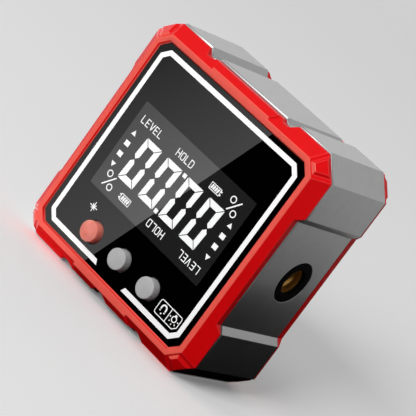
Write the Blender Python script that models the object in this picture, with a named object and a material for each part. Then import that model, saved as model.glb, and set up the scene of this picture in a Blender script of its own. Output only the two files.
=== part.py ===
"""Digital angle gauge: a notched metal frame between two red bezels.

The front faces -Y and the gauge stands on its bottom side, with +Z up.
Outlines are drawn in the plane of the face, measured from its middle.
Depths are measured from the frame's front face, positive towards the rear.
"""

import math

import bmesh
import bpy
from mathutils import Vector

for leftover in list(bpy.data.objects):
    bpy.data.objects.remove(leftover, do_unlink=True)

MM = 0.001

# Frame
BOX_SIZE = 60.0 * MM
CORNER_CUT = 5.0 * MM
FRAME_DEPTH = 23.8 * MM
FRAME_WALL = 4.0 * MM
FRAME_CHAMFER = 0.35 * MM

# Notches along the top and bottom sides
PAD_END = 15.3 * MM
GROOVE_DEPTH = 1.6 * MM
GROOVE_PAD_SLOPE = 1.3 * MM
GROOVE_FLOOR = 1.7 * MM
GROOVE_PLATEAU_SLOPE = 1.0 * MM
PLATEAU_DROP = 0.6 * MM

# Pipe groove in the middle of the bottom side
VEE_WIDTH = 5.4 * MM
VEE_FLOOR = 2.0 * MM
VEE_DEPTH = 1.3 * MM

# Recesses in the left and right sides
SIDE_PAD_END = 15.6 * MM
SIDE_SLOPE = 1.5 * MM
SIDE_RECESS = 1.4 * MM

# Bezels
BEZEL_HEIGHT = 3.7 * MM
BEZEL_WALL_HEIGHT = 0.5 * MM
BEZEL_SIDE_INSET = 0.1 * MM
BEZEL_PAD_INSET = 0.35 * MM
BEZEL_GROOVE_INSET = 0.15 * MM
BEZEL_PLATEAU_INSET = 0.55 * MM
BEZEL_LIP = 0.4 * MM
RING_OUTER_INSET = 3.3 * MM
RING_WIDTH = 1.35 * MM
LEDGE_WIDTH = 0.25 * MM
SPIGOT_LENGTH = 2.5 * MM
SPIGOT_WALL = 1.2 * MM
RAISED_FLANK = 0.6 * MM
RAISED_FLANK_WIDTH = 19.2 * MM
RAISED_FLANK_FLARE = 1.5 * MM
BUMPER_HEIGHT = 0.85 * MM
BUMPER_BEVEL = 0.78 * MM
BUMPER_INNER_WIDTH = 2.7 * MM
BUMPER_OUTER_WIDTH = 5.2 * MM
BUMPER_SETBACK = 0.35 * MM
BUMPER_SINK = 0.2 * MM

# Front panel
PANEL_RECESS = 0.5 * MM
LENS_THICKNESS = 1.2 * MM
GASKET_THICKNESS = 0.3 * MM
GASKET_WIDTH = 2.0 * MM
FRONT_SHELF = 2.4 * MM
FRONT_OPENING_CUT = 3.6 * MM

# Buttons
BUTTON_SPACING = 10.35 * MM
BUTTON_SHELF_GAP = 0.65 * MM
BUTTON_RADIUS = 2.5 * MM
BUTTON_PROUD = 2.0 * MM
BUTTON_BEVEL = 0.2 * MM
BUTTON_FLANGE = 0.7 * MM
BUTTON_FLANGE_HEIGHT = 0.7 * MM
BUTTON_STEM_RADIUS = 1.5 * MM
BUTTON_STEM_LENGTH = 0.8 * MM
BUTTON_TRAVEL = 0.6 * MM

# Display, whose holder sits in the front bezel's opening
HOLDER_SIDE_GAP = 1.5 * MM
HOLDER_TOP_GAP = 7.3 * MM
HOLDER_BUTTON_GAP = 0.85 * MM
DISPLAY_BORDER = 0.8 * MM
GLASS_LEDGE = 2.0 * MM
GLASS_THICKNESS = 1.8 * MM
BACKLIGHT_THICKNESS = 2.5 * MM
HOLDER_WALL = 0.8 * MM
ZEBRA_WIDTH = 1.5 * MM

# Circuit board
BOARD_GAP = 1.3 * MM
BOARD_THICKNESS = 1.2 * MM
BOARD_EDGE_GAP = 0.4 * MM
BOARD_CUT = 8.0 * MM
KEYPAD_BASE = 0.8 * MM
KEYPAD_MARGIN = 3.6 * MM
DOME_RADIUS = 2.2 * MM
MAIN_CHIP_SIZE = 9.0 * MM
MAIN_CHIP_HEIGHT = 1.2 * MM
SENSOR_SIZE = 5.0 * MM
SENSOR_HEIGHT = 1.6 * MM
CHIP_SPACING = 14.0 * MM

# Tripod thread in the right side
THREAD_FROM_REAR = 9.6 * MM
THREAD_RADIUS = 3.175 * MM
COLLAR_RADIUS = 5.3 * MM
COLLAR_MOUTH_RADIUS = 3.85 * MM
COLLAR_LIP = 1.6 * MM
COLLAR_FLANGE = 1.3 * MM
COLLAR_FLANGE_HEIGHT = 1.2 * MM
COLLAR_BACK = 0.9 * MM
INSERT_RADIUS = 4.25 * MM
INSERT_LENGTH = 6.4 * MM

# Magnets on the inside of the top and bottom walls
MAGNET_THICKNESS = 2.4 * MM
MAGNET_PAIR_GAP = 7.0 * MM
MAGNET_BOSS_GAP = 2.8 * MM
MAGNET_TRAY_GAP = 2.3 * MM

# Battery compartment
CELL_RADIUS = 5.2 * MM
CELL_NUB_RADIUS = 1.9 * MM
CELL_NUB_LENGTH = 0.9 * MM
CELL_GAP = 0.6 * MM
CELL_BEVEL = 0.5 * MM
TRAY_WALL = 0.8 * MM
TRAY_BOSS_GAP = 3.5 * MM
SPRING_LENGTH = 1.0 * MM
SPRING_WIRE = 0.3 * MM
SPRING_OUTER = 3.2 * MM
SPRING_INNER = 1.4 * MM
SPRING_TURNS = 2.5
PLATE_THICKNESS = 0.3 * MM
PLATE_SIZE = 8.0 * MM

# Rear panel, its door and the screws
REAR_PANEL_THICKNESS = 1.6 * MM
REAR_SHELF = 0.7 * MM
REAR_OPENING_CUT = 6.8 * MM
DOOR_LIP = 0.6 * MM
DOOR_END_LIP = 0.5 * MM
SCOOP_RADIUS = 9.0 * MM
SCOOP_DEPTH = 0.7 * MM
SCREW_INSET = 7.5 * MM
SCREW_HEAD_RADIUS = 2.0 * MM
SCREW_HEAD_HEIGHT = 1.2 * MM
SCREW_HEAD_BEVEL = 0.3 * MM
SCREW_RADIUS = 1.1 * MM
SCREW_LENGTH = 13.0 * MM
SCREW_SLOT_WIDTH = 0.5 * MM
SCREW_SLOT_LENGTH = 2.2 * MM
SCREW_SLOT_DEPTH = 0.7 * MM
BOSS_RADIUS = 2.2 * MM

# Clearances
SEAM = 0.1 * MM
FIT = 0.3 * MM
CONTACT_FIT = 0.1 * MM
OVERSHOOT = 1.0 * MM

ROUND_SIDES = 48
SMALL_ROUND_SIDES = 24
SMOOTH_ANGLE = math.radians(35.0)

# Places that follow from the sizes
HALF = BOX_SIZE / 2
CENTRE_Z = HALF
OVERALL_DEPTH = FRAME_DEPTH + 2 * BEZEL_HEIGHT + BUTTON_PROUD - PANEL_RECESS
FRONT_FACE_Y = -OVERALL_DEPTH / 2 + BUTTON_PROUD - PANEL_RECESS + BEZEL_HEIGHT
LENS_FRONT = -BEZEL_HEIGHT + PANEL_RECESS
LENS_BACK = LENS_FRONT + LENS_THICKNESS
GASKET_FRONT = LENS_BACK + CONTACT_FIT
FRONT_SHELF_TOP = GASKET_FRONT + GASKET_THICKNESS + CONTACT_FIT
RING_INNER_INSET = RING_OUTER_INSET + RING_WIDTH
POCKET_INSET = RING_INNER_INSET + LEDGE_WIDTH
PANEL_INSET = POCKET_INSET + SEAM
FLANK_SLOPE = (BEZEL_HEIGHT - BEZEL_WALL_HEIGHT) / (RING_OUTER_INSET - BEZEL_SIDE_INSET)
ADDITION_FOOT = (SEAM + BEZEL_WALL_HEIGHT) / 2
CAVITY_INSET = FRAME_WALL
CAVITY_HALF = HALF - CAVITY_INSET
SPIGOT_INSET = CAVITY_INSET + FIT
FRONT_OPENING_HALF = HALF - POCKET_INSET - FRONT_SHELF
SCREW_SPREAD = HALF - SCREW_INSET
BUTTON_FLANGE_RADIUS = BUTTON_RADIUS + BUTTON_FLANGE
BUTTON_DROP = FRONT_OPENING_HALF - BUTTON_SHELF_GAP - BUTTON_FLANGE_RADIUS
GLASS_FRONT = LENS_BACK + FIT
GLASS_BACK = GLASS_FRONT + GLASS_THICKNESS
BACKLIGHT_FRONT = GLASS_BACK + FIT
BACKLIGHT_BACK = BACKLIGHT_FRONT + BACKLIGHT_THICKNESS
HOLDER_RIM = HOLDER_WALL + FIT + DISPLAY_BORDER
DISPLAY_WIDTH = 2 * (FRONT_OPENING_HALF - HOLDER_SIDE_GAP - HOLDER_RIM)
DISPLAY_TOP = FRONT_OPENING_HALF - HOLDER_TOP_GAP - HOLDER_RIM - GLASS_LEDGE
DISPLAY_BOTTOM = BUTTON_FLANGE_RADIUS + HOLDER_BUTTON_GAP + HOLDER_RIM + GLASS_LEDGE - BUTTON_DROP
DISPLAY_HEIGHT = DISPLAY_TOP - DISPLAY_BOTTOM
DISPLAY_RISE = (DISPLAY_TOP + DISPLAY_BOTTOM) / 2
BOARD_DEPTH = BACKLIGHT_BACK + BOARD_GAP
BOARD_HALF = CAVITY_HALF - FIT - MAGNET_THICKNESS - BOARD_EDGE_GAP
THREAD_DEPTH = FRAME_DEPTH - THREAD_FROM_REAR
COLLAR_MOUTH = HALF - SIDE_RECESS
INSERT_MOUTH = -COLLAR_LIP - CONTACT_FIT
INSERT_BACK = INSERT_MOUTH - INSERT_LENGTH
COLLAR_END = INSERT_BACK - CONTACT_FIT - COLLAR_BACK
REAR_PANEL_BACK = FRAME_DEPTH + BEZEL_HEIGHT - PANEL_RECESS
REAR_PANEL_FRONT = REAR_PANEL_BACK - REAR_PANEL_THICKNESS
REAR_SHELF_TOP = REAR_PANEL_FRONT - CONTACT_FIT
REAR_OPENING_HALF = HALF - POCKET_INSET - REAR_SHELF
TRAY_HALF_HEIGHT = REAR_OPENING_HALF - FIT
TRAY_INNER_HEIGHT = TRAY_HALF_HEIGHT - TRAY_WALL
CELL_PITCH = 2 * CELL_RADIUS + CELL_GAP
TRAY_INNER_WIDTH = CELL_PITCH / 2 + CELL_RADIUS + FIT
TRAY_HALF_WIDTH = TRAY_INNER_WIDTH + TRAY_WALL
BATTERY_OFFSET = TRAY_HALF_WIDTH + TRAY_BOSS_GAP + BOSS_RADIUS - SCREW_SPREAD
TRAY_RIM = REAR_PANEL_FRONT - FIT
CELL_DEPTH = TRAY_RIM - FIT - CELL_RADIUS
TRAY_FLOOR = CELL_DEPTH - CELL_RADIUS - FIT
PLATE_WALL = TRAY_INNER_HEIGHT - CONTACT_FIT
SPRING_SEAT = PLATE_WALL - PLATE_THICKNESS - CONTACT_FIT
CELL_END = SPRING_SEAT - SPRING_LENGTH - CONTACT_FIT
CELL_LENGTH = SPRING_SEAT + CELL_END - CELL_NUB_LENGTH
MAGNET_END = SCREW_SPREAD - BOSS_RADIUS - MAGNET_BOSS_GAP
MAGNET_START = MAGNET_PAIR_GAP / 2
MAGNET_FRONT = SPIGOT_LENGTH + FIT
MAGNET_BACK = TRAY_FLOOR - TRAY_WALL - MAGNET_TRAY_GAP
BOSS_END = FRAME_DEPTH - SPIGOT_LENGTH - FIT
PILOT_END = REAR_PANEL_FRONT - SCREW_LENGTH - FIT
DOOR_HALF_WIDTH = TRAY_INNER_WIDTH + DOOR_LIP
DOOR_HALF_HEIGHT = TRAY_INNER_HEIGHT - DOOR_END_LIP


def material(name, colour, roughness, metallic=0.0):
    """A Principled material with one colour all over."""
    made = bpy.data.materials.new(name)
    made.use_nodes = True
    shader = made.node_tree.nodes["Principled BSDF"]
    shader.inputs["Base Color"].default_value = (*colour, 1.0)
    shader.inputs["Roughness"].default_value = roughness
    shader.inputs["Metallic"].default_value = metallic
    made.diffuse_color = (*colour, 1.0)
    return made


SATIN_METAL = material("satin_metal", (0.42, 0.42, 0.42), 0.42, 0.8)
RED_PLASTIC = material("red_plastic", (0.72, 0.012, 0.012), 0.35)
BLACK_GLOSS = material("black_gloss", (0.006, 0.006, 0.007), 0.05)
BLACK_PLASTIC = material("black_plastic", (0.012, 0.012, 0.013), 0.5)
RED_RUBBER = material("red_rubber", (0.80, 0.09, 0.07), 0.5)
GREY_RUBBER = material("grey_rubber", (0.36, 0.36, 0.37), 0.5)
FOAM = material("foam", (0.03, 0.03, 0.03), 0.9)
GLASS = material("display_glass", (0.02, 0.02, 0.025), 0.1)
WHITE_PLASTIC = material("white_plastic", (0.8, 0.8, 0.8), 0.4)
BOARD_GREEN = material("board_green", (0.02, 0.16, 0.05), 0.4)
CHIP_BLACK = material("chip_black", (0.02, 0.02, 0.02), 0.5)
SILICONE = material("silicone", (0.5, 0.5, 0.52), 0.6)
BRASS = material("brass", (0.60, 0.38, 0.12), 0.35, 1.0)
MAGNET_PLATE = material("magnet_plate", (0.55, 0.55, 0.57), 0.25, 1.0)
SPRING_STEEL = material("spring_steel", (0.6, 0.6, 0.6), 0.3, 1.0)
CELL_WRAP = material("cell_wrap", (0.05, 0.08, 0.2), 0.4)
SCREW_STEEL = material("screw_steel", (0.3, 0.3, 0.3), 0.35, 1.0)


def depth(distance):
    """World Y of a depth measured from the frame's front face."""
    return FRONT_FACE_Y + distance


def front_height(height):
    """World Y of a height above the frame's front face."""
    return depth(-height)


def rear_height(height):
    """World Y of a height above the frame's rear face."""
    return depth(FRAME_DEPTH + height)


def new_object(name, shape, finish, place=(0.0, 0.0, 0.0), turn=(0.0, 0.0, 0.0)):
    """Turn a bmesh into a named object with one material."""
    bmesh.ops.recalc_face_normals(shape, faces=shape.faces[:])
    mesh = bpy.data.meshes.new(name)
    shape.to_mesh(mesh)
    shape.free()
    mesh.materials.append(finish)
    made = bpy.data.objects.new(name, mesh)
    made.location = place
    made.rotation_euler = turn
    bpy.context.collection.objects.link(made)
    return made


def loft(name, sections, finish):
    """A solid through outlines of the face, each (points, y), capped at both ends."""
    shape = bmesh.new()
    rings = []
    for points, y in sections:
        rings.append([shape.verts.new((x, y, z + CENTRE_Z)) for x, z in points])
    for near, far in zip(rings, rings[1:]):
        for index, corner in enumerate(near):
            following = (index + 1) % len(near)
            shape.faces.new((corner, near[following], far[following], far[index]))
    shape.faces.new(rings[0])
    shape.faces.new(rings[-1])
    return new_object(name, shape, finish)


def rectangle(half_width, half_height, x=0.0, z=0.0):
    """A rectangle about (x, z), anticlockwise from its lower left corner."""
    return [
        (x - half_width, z - half_height),
        (x + half_width, z - half_height),
        (x + half_width, z + half_height),
        (x - half_width, z + half_height),
    ]


def block(name, outline, front, back, finish):
    """An outline of the face given thickness between two depths."""
    return loft(name, [(outline, depth(front)), (outline, depth(back))], finish)


def turned(name, profile, sides, finish, place, turn=(0.0, 0.0, 0.0)):
    """A turned solid about its own Z from (radius, height) pairs, capped at both ends."""
    shape = bmesh.new()
    rings = []
    for radius, height in profile:
        ring = []
        for side in range(sides):
            angle = 2 * math.pi * side / sides
            ring.append(shape.verts.new((radius * math.cos(angle), radius * math.sin(angle), height)))
        rings.append(ring)
    for lower, upper in zip(rings, rings[1:]):
        for side in range(sides):
            following = (side + 1) % sides
            shape.faces.new((lower[side], lower[following], upper[following], upper[side]))
    shape.faces.new(rings[0])
    shape.faces.new(rings[-1])
    made = new_object(name, shape, finish, place, turn)
    made.data.shade_smooth()
    made.data.set_sharp_from_angle(angle=SMOOTH_ANGLE)
    return made


TOWARDS_FRONT = (math.radians(90.0), 0.0, 0.0)
TOWARDS_REAR = (math.radians(-90.0), 0.0, 0.0)
TOWARDS_RIGHT = (0.0, math.radians(90.0), 0.0)
UPSIDE_DOWN = (math.radians(180.0), 0.0, 0.0)


def combine(target, operation, *tools):
    """Boolean each tool into the target, in order, and keep the tools as guides."""
    for tool in tools:
        step = target.modifiers.new(operation.lower() + "_" + tool.name, "BOOLEAN")
        step.operation = operation
        step.solver = "EXACT"
        step.object = tool
        tool.hide_render = True
        tool.display_type = "WIRE"


def octagon(inset, cut=None):
    """The box's outline without its notches, moved inwards by inset."""
    half = HALF - inset
    if cut is None:
        cut = CORNER_CUT - (2 - math.sqrt(2)) * inset
    near = half - cut
    return [
        (half, -near), (half, near), (near, half), (-near, half),
        (-half, near), (-half, -near), (-near, -half), (near, -half),
    ]


def facet_end(out, inset):
    """Distance along a side at which it meets its corner facet, moved in by inset."""
    return 2 * HALF - CORNER_CUT - math.sqrt(2) * inset - out


def notched_half_side(pad_inset=0.0, groove_inset=0.0, plateau_inset=0.0, facet_inset=0.0):
    """Half of the top side, from its corner to the plateau, as (along, out)."""
    groove_out = PAD_END - GROOVE_PAD_SLOPE
    groove_in = groove_out - GROOVE_FLOOR
    plateau_end = groove_in - GROOVE_PLATEAU_SLOPE
    pad = HALF - pad_inset
    floor = HALF - GROOVE_DEPTH - groove_inset
    return [
        (facet_end(pad, facet_inset), pad),
        (PAD_END, pad),
        (groove_out, floor),
        (groove_in, floor),
        (plateau_end, HALF - PLATEAU_DROP - plateau_inset),
    ]


def vee_half(plateau_inset=0.0):
    """Half of the pipe groove, from the plateau to its floor."""
    level = HALF - PLATEAU_DROP - plateau_inset
    return [(VEE_WIDTH / 2, level), (VEE_FLOOR / 2, level - VEE_DEPTH)]


def recessed_half_side(inset=0.0):
    """Half of a left or right side, from its corner to the recess."""
    pad = HALF - inset
    return [
        (facet_end(pad, inset), pad),
        (SIDE_PAD_END, pad),
        (SIDE_PAD_END - SIDE_SLOPE, pad - SIDE_RECESS),
    ]


def whole_side(half_side):
    """Both halves of a side, running anticlockwise round the box."""
    lower = [(-along, out) for along, out in half_side]
    upper = [(along, out) for along, out in reversed(half_side)]
    return lower + upper


def joined_sides(side, top, bottom):
    """A notched outline, anticlockwise from the right side's lower corner."""
    right = [(out, along) for along, out in whole_side(side)]
    above = [(-along, out) for along, out in whole_side(top)]
    left = [(-out, -along) for along, out in whole_side(side)]
    below = [(along, -out) for along, out in whole_side(bottom)]
    return right + above + left + below


def frame_outline():
    """The notched outline of the frame."""
    top = notched_half_side()
    return joined_sides(recessed_half_side(), top, top + vee_half())


def bezel_outline():
    """The outline of a bezel's outer wall, which follows the frame's a little further in."""
    top = notched_half_side(
        BEZEL_PAD_INSET, BEZEL_GROOVE_INSET, BEZEL_PLATEAU_INSET, BEZEL_SIDE_INSET
    )
    side = recessed_half_side(BEZEL_SIDE_INSET)
    return joined_sides(side, top, top + vee_half(BEZEL_PLATEAU_INSET))


def inset_outline(points, distance):
    """Move each edge of an anticlockwise outline inwards and meet the edges again."""
    moved = []
    for index, corner in enumerate(points):
        here = Vector(corner)
        before = (here - Vector(points[index - 1])).normalized()
        after = (Vector(points[(index + 1) % len(points)]) - here).normalized()
        before_in = Vector((-before.y, before.x))
        after_in = Vector((-after.y, after.x))
        reach = distance / (1 + before_in.dot(after_in))
        moved.append(tuple(here + (before_in + after_in) * reach))
    return moved


def make_frame():
    """The metal middle: a notched tube with bright cut edges and one round hole."""
    full = frame_outline()
    edge = inset_outline(full, FRAME_CHAMFER)
    frame = loft(
        "center_frame",
        [
            (edge, depth(0.0)),
            (full, depth(FRAME_CHAMFER)),
            (full, depth(FRAME_DEPTH - FRAME_CHAMFER)),
            (edge, depth(FRAME_DEPTH)),
        ],
        SATIN_METAL,
    )
    cavity = block(
        "frame_cavity", octagon(CAVITY_INSET), -OVERSHOOT, FRAME_DEPTH + OVERSHOOT, SATIN_METAL
    )
    hole_profile = [
        (COLLAR_RADIUS + CONTACT_FIT, -FRAME_WALL - OVERSHOOT),
        (COLLAR_RADIUS + CONTACT_FIT, OVERSHOOT),
    ]
    hole = turned(
        "frame_hole", hole_profile, ROUND_SIDES, SATIN_METAL,
        (HALF, depth(THREAD_DEPTH), CENTRE_Z), TOWARDS_RIGHT,
    )
    combine(frame, "DIFFERENCE", cavity, hole)
    return frame


def flank_height(inset):
    """Height of a bezel's sloping flank at a distance in from the box's side."""
    return BEZEL_HEIGHT - FLANK_SLOPE * (RING_OUTER_INSET - inset)


def flank_inset(height):
    """Distance in from the box's side where the flank has this height."""
    return RING_OUTER_INSET - (BEZEL_HEIGHT - height) / FLANK_SLOPE


def raised_flank(name, upwards, y_of):
    """The thicker middle of a bezel's top or bottom flank, with flared ends."""
    ring_edge = RING_OUTER_INSET - RAISED_FLANK
    levels = [
        (RING_INNER_INSET - FIT, BEZEL_HEIGHT),
        (ring_edge, BEZEL_HEIGHT),
        (0.0, flank_height(RAISED_FLANK)),
    ]
    shape = bmesh.new()
    rows = []
    for inset, height in levels:
        flare = RAISED_FLANK_FLARE * max(0.0, ring_edge - inset) / ring_edge
        reach = RAISED_FLANK_WIDTH / 2 + flare
        z = CENTRE_Z + upwards * (HALF - inset)
        left_top = shape.verts.new((-reach, y_of(height), z))
        right_top = shape.verts.new((reach, y_of(height), z))
        right_foot = shape.verts.new((reach, y_of(ADDITION_FOOT), z))
        left_foot = shape.verts.new((-reach, y_of(ADDITION_FOOT), z))
        rows.append([left_top, right_top, right_foot, left_foot])
    for near, far in zip(rows, rows[1:]):
        for index in range(4):
            following = (index + 1) % 4
            shape.faces.new((near[index], near[following], far[following], far[index]))
    shape.faces.new(rows[0])
    shape.faces.new(rows[-1])
    return new_object(name, shape, RED_PLASTIC)


def bumper(name, turn_angle, y_of):
    """A raised pad on one corner facet of a bezel, bevelled on three sides."""
    corner_reach = (2 * HALF - CORNER_CUT) / math.sqrt(2)
    inner_inset = RING_OUTER_INSET - BUMPER_SETBACK
    widening = (BUMPER_OUTER_WIDTH - BUMPER_INNER_WIDTH) / 2 / inner_inset
    shape = bmesh.new()
    rings = []
    for rise in (-BUMPER_SINK, BUMPER_HEIGHT):
        bevel = rise * BUMPER_BEVEL / BUMPER_HEIGHT
        outline = []
        for inset in (inner_inset - bevel, 0.0):
            half = BUMPER_INNER_WIDTH / 2 + widening * (inner_inset - inset) - bevel
            outline.append((inset, half, flank_height(inset) + rise))
        ring = []
        for across, (inset, half, height) in zip((-1, 1, 1, -1), (outline[0], *outline, outline[1])):
            out = corner_reach - inset
            x = out * math.cos(turn_angle) - across * half * math.sin(turn_angle)
            z = out * math.sin(turn_angle) + across * half * math.cos(turn_angle)
            ring.append(shape.verts.new((x, y_of(height), z + CENTRE_Z)))
        rings.append(ring)
    lower, upper = rings
    for index in range(4):
        following = (index + 1) % 4
        shape.faces.new((lower[index], lower[following], upper[following], upper[index]))
    shape.faces.new(lower)
    shape.faces.new(upper)
    return new_object(name, shape, RED_PLASTIC)


def make_bezel(name, y_of, shelf_top, opening):
    """A red bezel: faceted flank, notches, corner bumpers, panel pocket and spigot."""
    ring = octagon(RING_OUTER_INSET)
    spigot = octagon(SPIGOT_INSET)
    foot = octagon(flank_inset(SEAM))
    bezel = loft(name, [(foot, y_of(SEAM)), (ring, y_of(BEZEL_HEIGHT))], RED_PLASTIC)
    additions = [
        raised_flank(name + "_upper_rise", 1, y_of),
        raised_flank(name + "_lower_rise", -1, y_of),
    ]
    for corner in range(4):
        angle = math.radians(45.0 + 90.0 * corner)
        additions.append(bumper(name + "_bumper_" + str(corner), angle, y_of))
    combine(bezel, "UNION", *additions)
    notches = bezel_outline()
    envelope = loft(
        name + "_envelope",
        [(notches, y_of(-OVERSHOOT)), (notches, y_of(BEZEL_HEIGHT + OVERSHOOT))],
        RED_PLASTIC,
    )
    combine(bezel, "INTERSECT", envelope)
    spigot_body = loft(
        name + "_spigot",
        [(spigot, y_of(-SPIGOT_LENGTH)), (spigot, y_of(SEAM + FIT))],
        RED_PLASTIC,
    )
    combine(bezel, "UNION", spigot_body)
    pocket = octagon(POCKET_INSET)
    inner_ring = octagon(RING_INNER_INSET)
    ledge = BEZEL_HEIGHT - BEZEL_LIP
    pocket_cutter = loft(
        name + "_pocket",
        [
            (opening, y_of(-SPIGOT_LENGTH - OVERSHOOT)),
            (opening, y_of(shelf_top)),
            (pocket, y_of(shelf_top)),
            (pocket, y_of(ledge)),
            (inner_ring, y_of(ledge)),
            (inner_ring, y_of(BEZEL_HEIGHT + OVERSHOOT)),
        ],
        RED_PLASTIC,
    )
    spigot_bore = octagon(SPIGOT_INSET + SPIGOT_WALL)
    spigot_cutter = loft(
        name + "_spigot_bore",
        [(spigot_bore, y_of(-SPIGOT_LENGTH - OVERSHOOT)), (spigot_bore, y_of(0.0))],
        RED_PLASTIC,
    )
    combine(bezel, "DIFFERENCE", pocket_cutter, spigot_cutter)
    return bezel


def screw_places():
    """The four screw axes, near the box's corners."""
    return [
        (across * SCREW_SPREAD, upwards * SCREW_SPREAD)
        for across in (-1, 1)
        for upwards in (-1, 1)
    ]


def make_bezels():
    """Front bezel with the screw bosses, and rear bezel with holes for the screws."""
    front = make_bezel(
        "front_bezel", front_height, -FRONT_SHELF_TOP, octagon(HALF - FRONT_OPENING_HALF, FRONT_OPENING_CUT)
    )
    rear = make_bezel(
        "rear_bezel", rear_height, REAR_SHELF_TOP - FRAME_DEPTH, octagon(HALF - REAR_OPENING_HALF, REAR_OPENING_CUT)
    )
    for number, (x, z) in enumerate(screw_places()):
        place = (x, depth(0.0), z + CENTRE_Z)
        boss = turned(
            "front_boss_" + str(number),
            [(BOSS_RADIUS, -CONTACT_FIT), (BOSS_RADIUS, BOSS_END)],
            SMALL_ROUND_SIDES, RED_PLASTIC, place, TOWARDS_REAR,
        )
        pilot = turned(
            "front_pilot_" + str(number),
            [(SCREW_RADIUS + CONTACT_FIT, PILOT_END), (SCREW_RADIUS + CONTACT_FIT, FRAME_DEPTH)],
            SMALL_ROUND_SIDES, RED_PLASTIC, place, TOWARDS_REAR,
        )
        clearance = turned(
            "rear_clearance_" + str(number),
            [(SCREW_RADIUS + FIT, FRAME_DEPTH - OVERSHOOT), (SCREW_RADIUS + FIT, REAR_SHELF_TOP + OVERSHOOT)],
            SMALL_ROUND_SIDES, RED_PLASTIC, place, TOWARDS_REAR,
        )
        combine(front, "UNION", boss)
        combine(front, "DIFFERENCE", pilot)
        combine(rear, "DIFFERENCE", clearance)
    return front, rear


def button_place(position):
    """Centre of a button on the face, numbered -1, 0 and 1 from the left."""
    return position * BUTTON_SPACING, -BUTTON_DROP


def make_front_panel():
    """The black lens with three button holes, on its gasket."""
    lens = block("front_lens", octagon(PANEL_INSET), LENS_FRONT, LENS_BACK, BLACK_GLOSS)
    for position in (-1, 0, 1):
        x, z = button_place(position)
        hole = turned(
            "lens_hole_" + str(position + 1),
            [(BUTTON_RADIUS + FIT, -OVERSHOOT), (BUTTON_RADIUS + FIT, LENS_THICKNESS + OVERSHOOT)],
            ROUND_SIDES, BLACK_GLOSS, (x, depth(LENS_BACK), z + CENTRE_Z), TOWARDS_FRONT,
        )
        combine(lens, "DIFFERENCE", hole)
    gasket = block(
        "lens_gasket", octagon(PANEL_INSET + CONTACT_FIT),
        GASKET_FRONT, GASKET_FRONT + GASKET_THICKNESS, FOAM,
    )
    gasket_window = block(
        "gasket_window", octagon(PANEL_INSET + GASKET_WIDTH),
        GASKET_FRONT - OVERSHOOT, GASKET_FRONT + OVERSHOOT, FOAM,
    )
    combine(gasket, "DIFFERENCE", gasket_window)
    return lens, gasket


def make_buttons():
    """Three round buttons held behind the lens by their flanges."""
    flange_front = -LENS_THICKNESS - CONTACT_FIT
    flange_back = flange_front - BUTTON_FLANGE_HEIGHT
    profile = [
        (BUTTON_STEM_RADIUS, flange_back - BUTTON_STEM_LENGTH),
        (BUTTON_STEM_RADIUS, flange_back),
        (BUTTON_FLANGE_RADIUS, flange_back),
        (BUTTON_FLANGE_RADIUS, flange_front),
        (BUTTON_RADIUS, flange_front),
        (BUTTON_RADIUS, BUTTON_PROUD - BUTTON_BEVEL),
        (BUTTON_RADIUS - BUTTON_BEVEL, BUTTON_PROUD),
    ]
    buttons = []
    for position, name, finish in (
        (-1, "power_button", RED_RUBBER),
        (0, "hold_button", GREY_RUBBER),
        (1, "zero_button", GREY_RUBBER),
    ):
        x, z = button_place(position)
        place = (x, depth(LENS_FRONT), z + CENTRE_Z)
        buttons.append(turned(name, profile, ROUND_SIDES, finish, place, TOWARDS_FRONT))
    return buttons


def make_display():
    """Display glass, backlight, their holder and the two rubber connector strips."""
    glass_width = DISPLAY_WIDTH / 2 + DISPLAY_BORDER
    light_height = DISPLAY_HEIGHT / 2 + DISPLAY_BORDER
    glass_height = light_height + GLASS_LEDGE
    holder_back = BOARD_DEPTH - FIT
    block(
        "lcd_glass", rectangle(glass_width, glass_height, 0.0, DISPLAY_RISE),
        GLASS_FRONT, GLASS_BACK, GLASS,
    )
    block(
        "backlight", rectangle(glass_width, light_height, 0.0, DISPLAY_RISE),
        BACKLIGHT_FRONT, BACKLIGHT_BACK, WHITE_PLASTIC,
    )
    holder = block(
        "lcd_holder",
        rectangle(
            glass_width + FIT + HOLDER_WALL, glass_height + FIT + HOLDER_WALL, 0.0, DISPLAY_RISE
        ),
        GLASS_FRONT, holder_back, BLACK_PLASTIC,
    )
    holder_window = block(
        "holder_window", rectangle(glass_width + FIT, glass_height + FIT, 0.0, DISPLAY_RISE),
        GLASS_FRONT - OVERSHOOT, holder_back + OVERSHOOT, BLACK_PLASTIC,
    )
    combine(holder, "DIFFERENCE", holder_window)
    strip_rise = light_height + FIT + ZEBRA_WIDTH / 2
    for name, upwards in (("zebra_strip_upper", 1), ("zebra_strip_lower", -1)):
        block(
            name,
            rectangle(DISPLAY_WIDTH / 2, ZEBRA_WIDTH / 2, 0.0, DISPLAY_RISE + upwards * strip_rise),
            BACKLIGHT_FRONT, holder_back, SILICONE,
        )
    return holder


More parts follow.
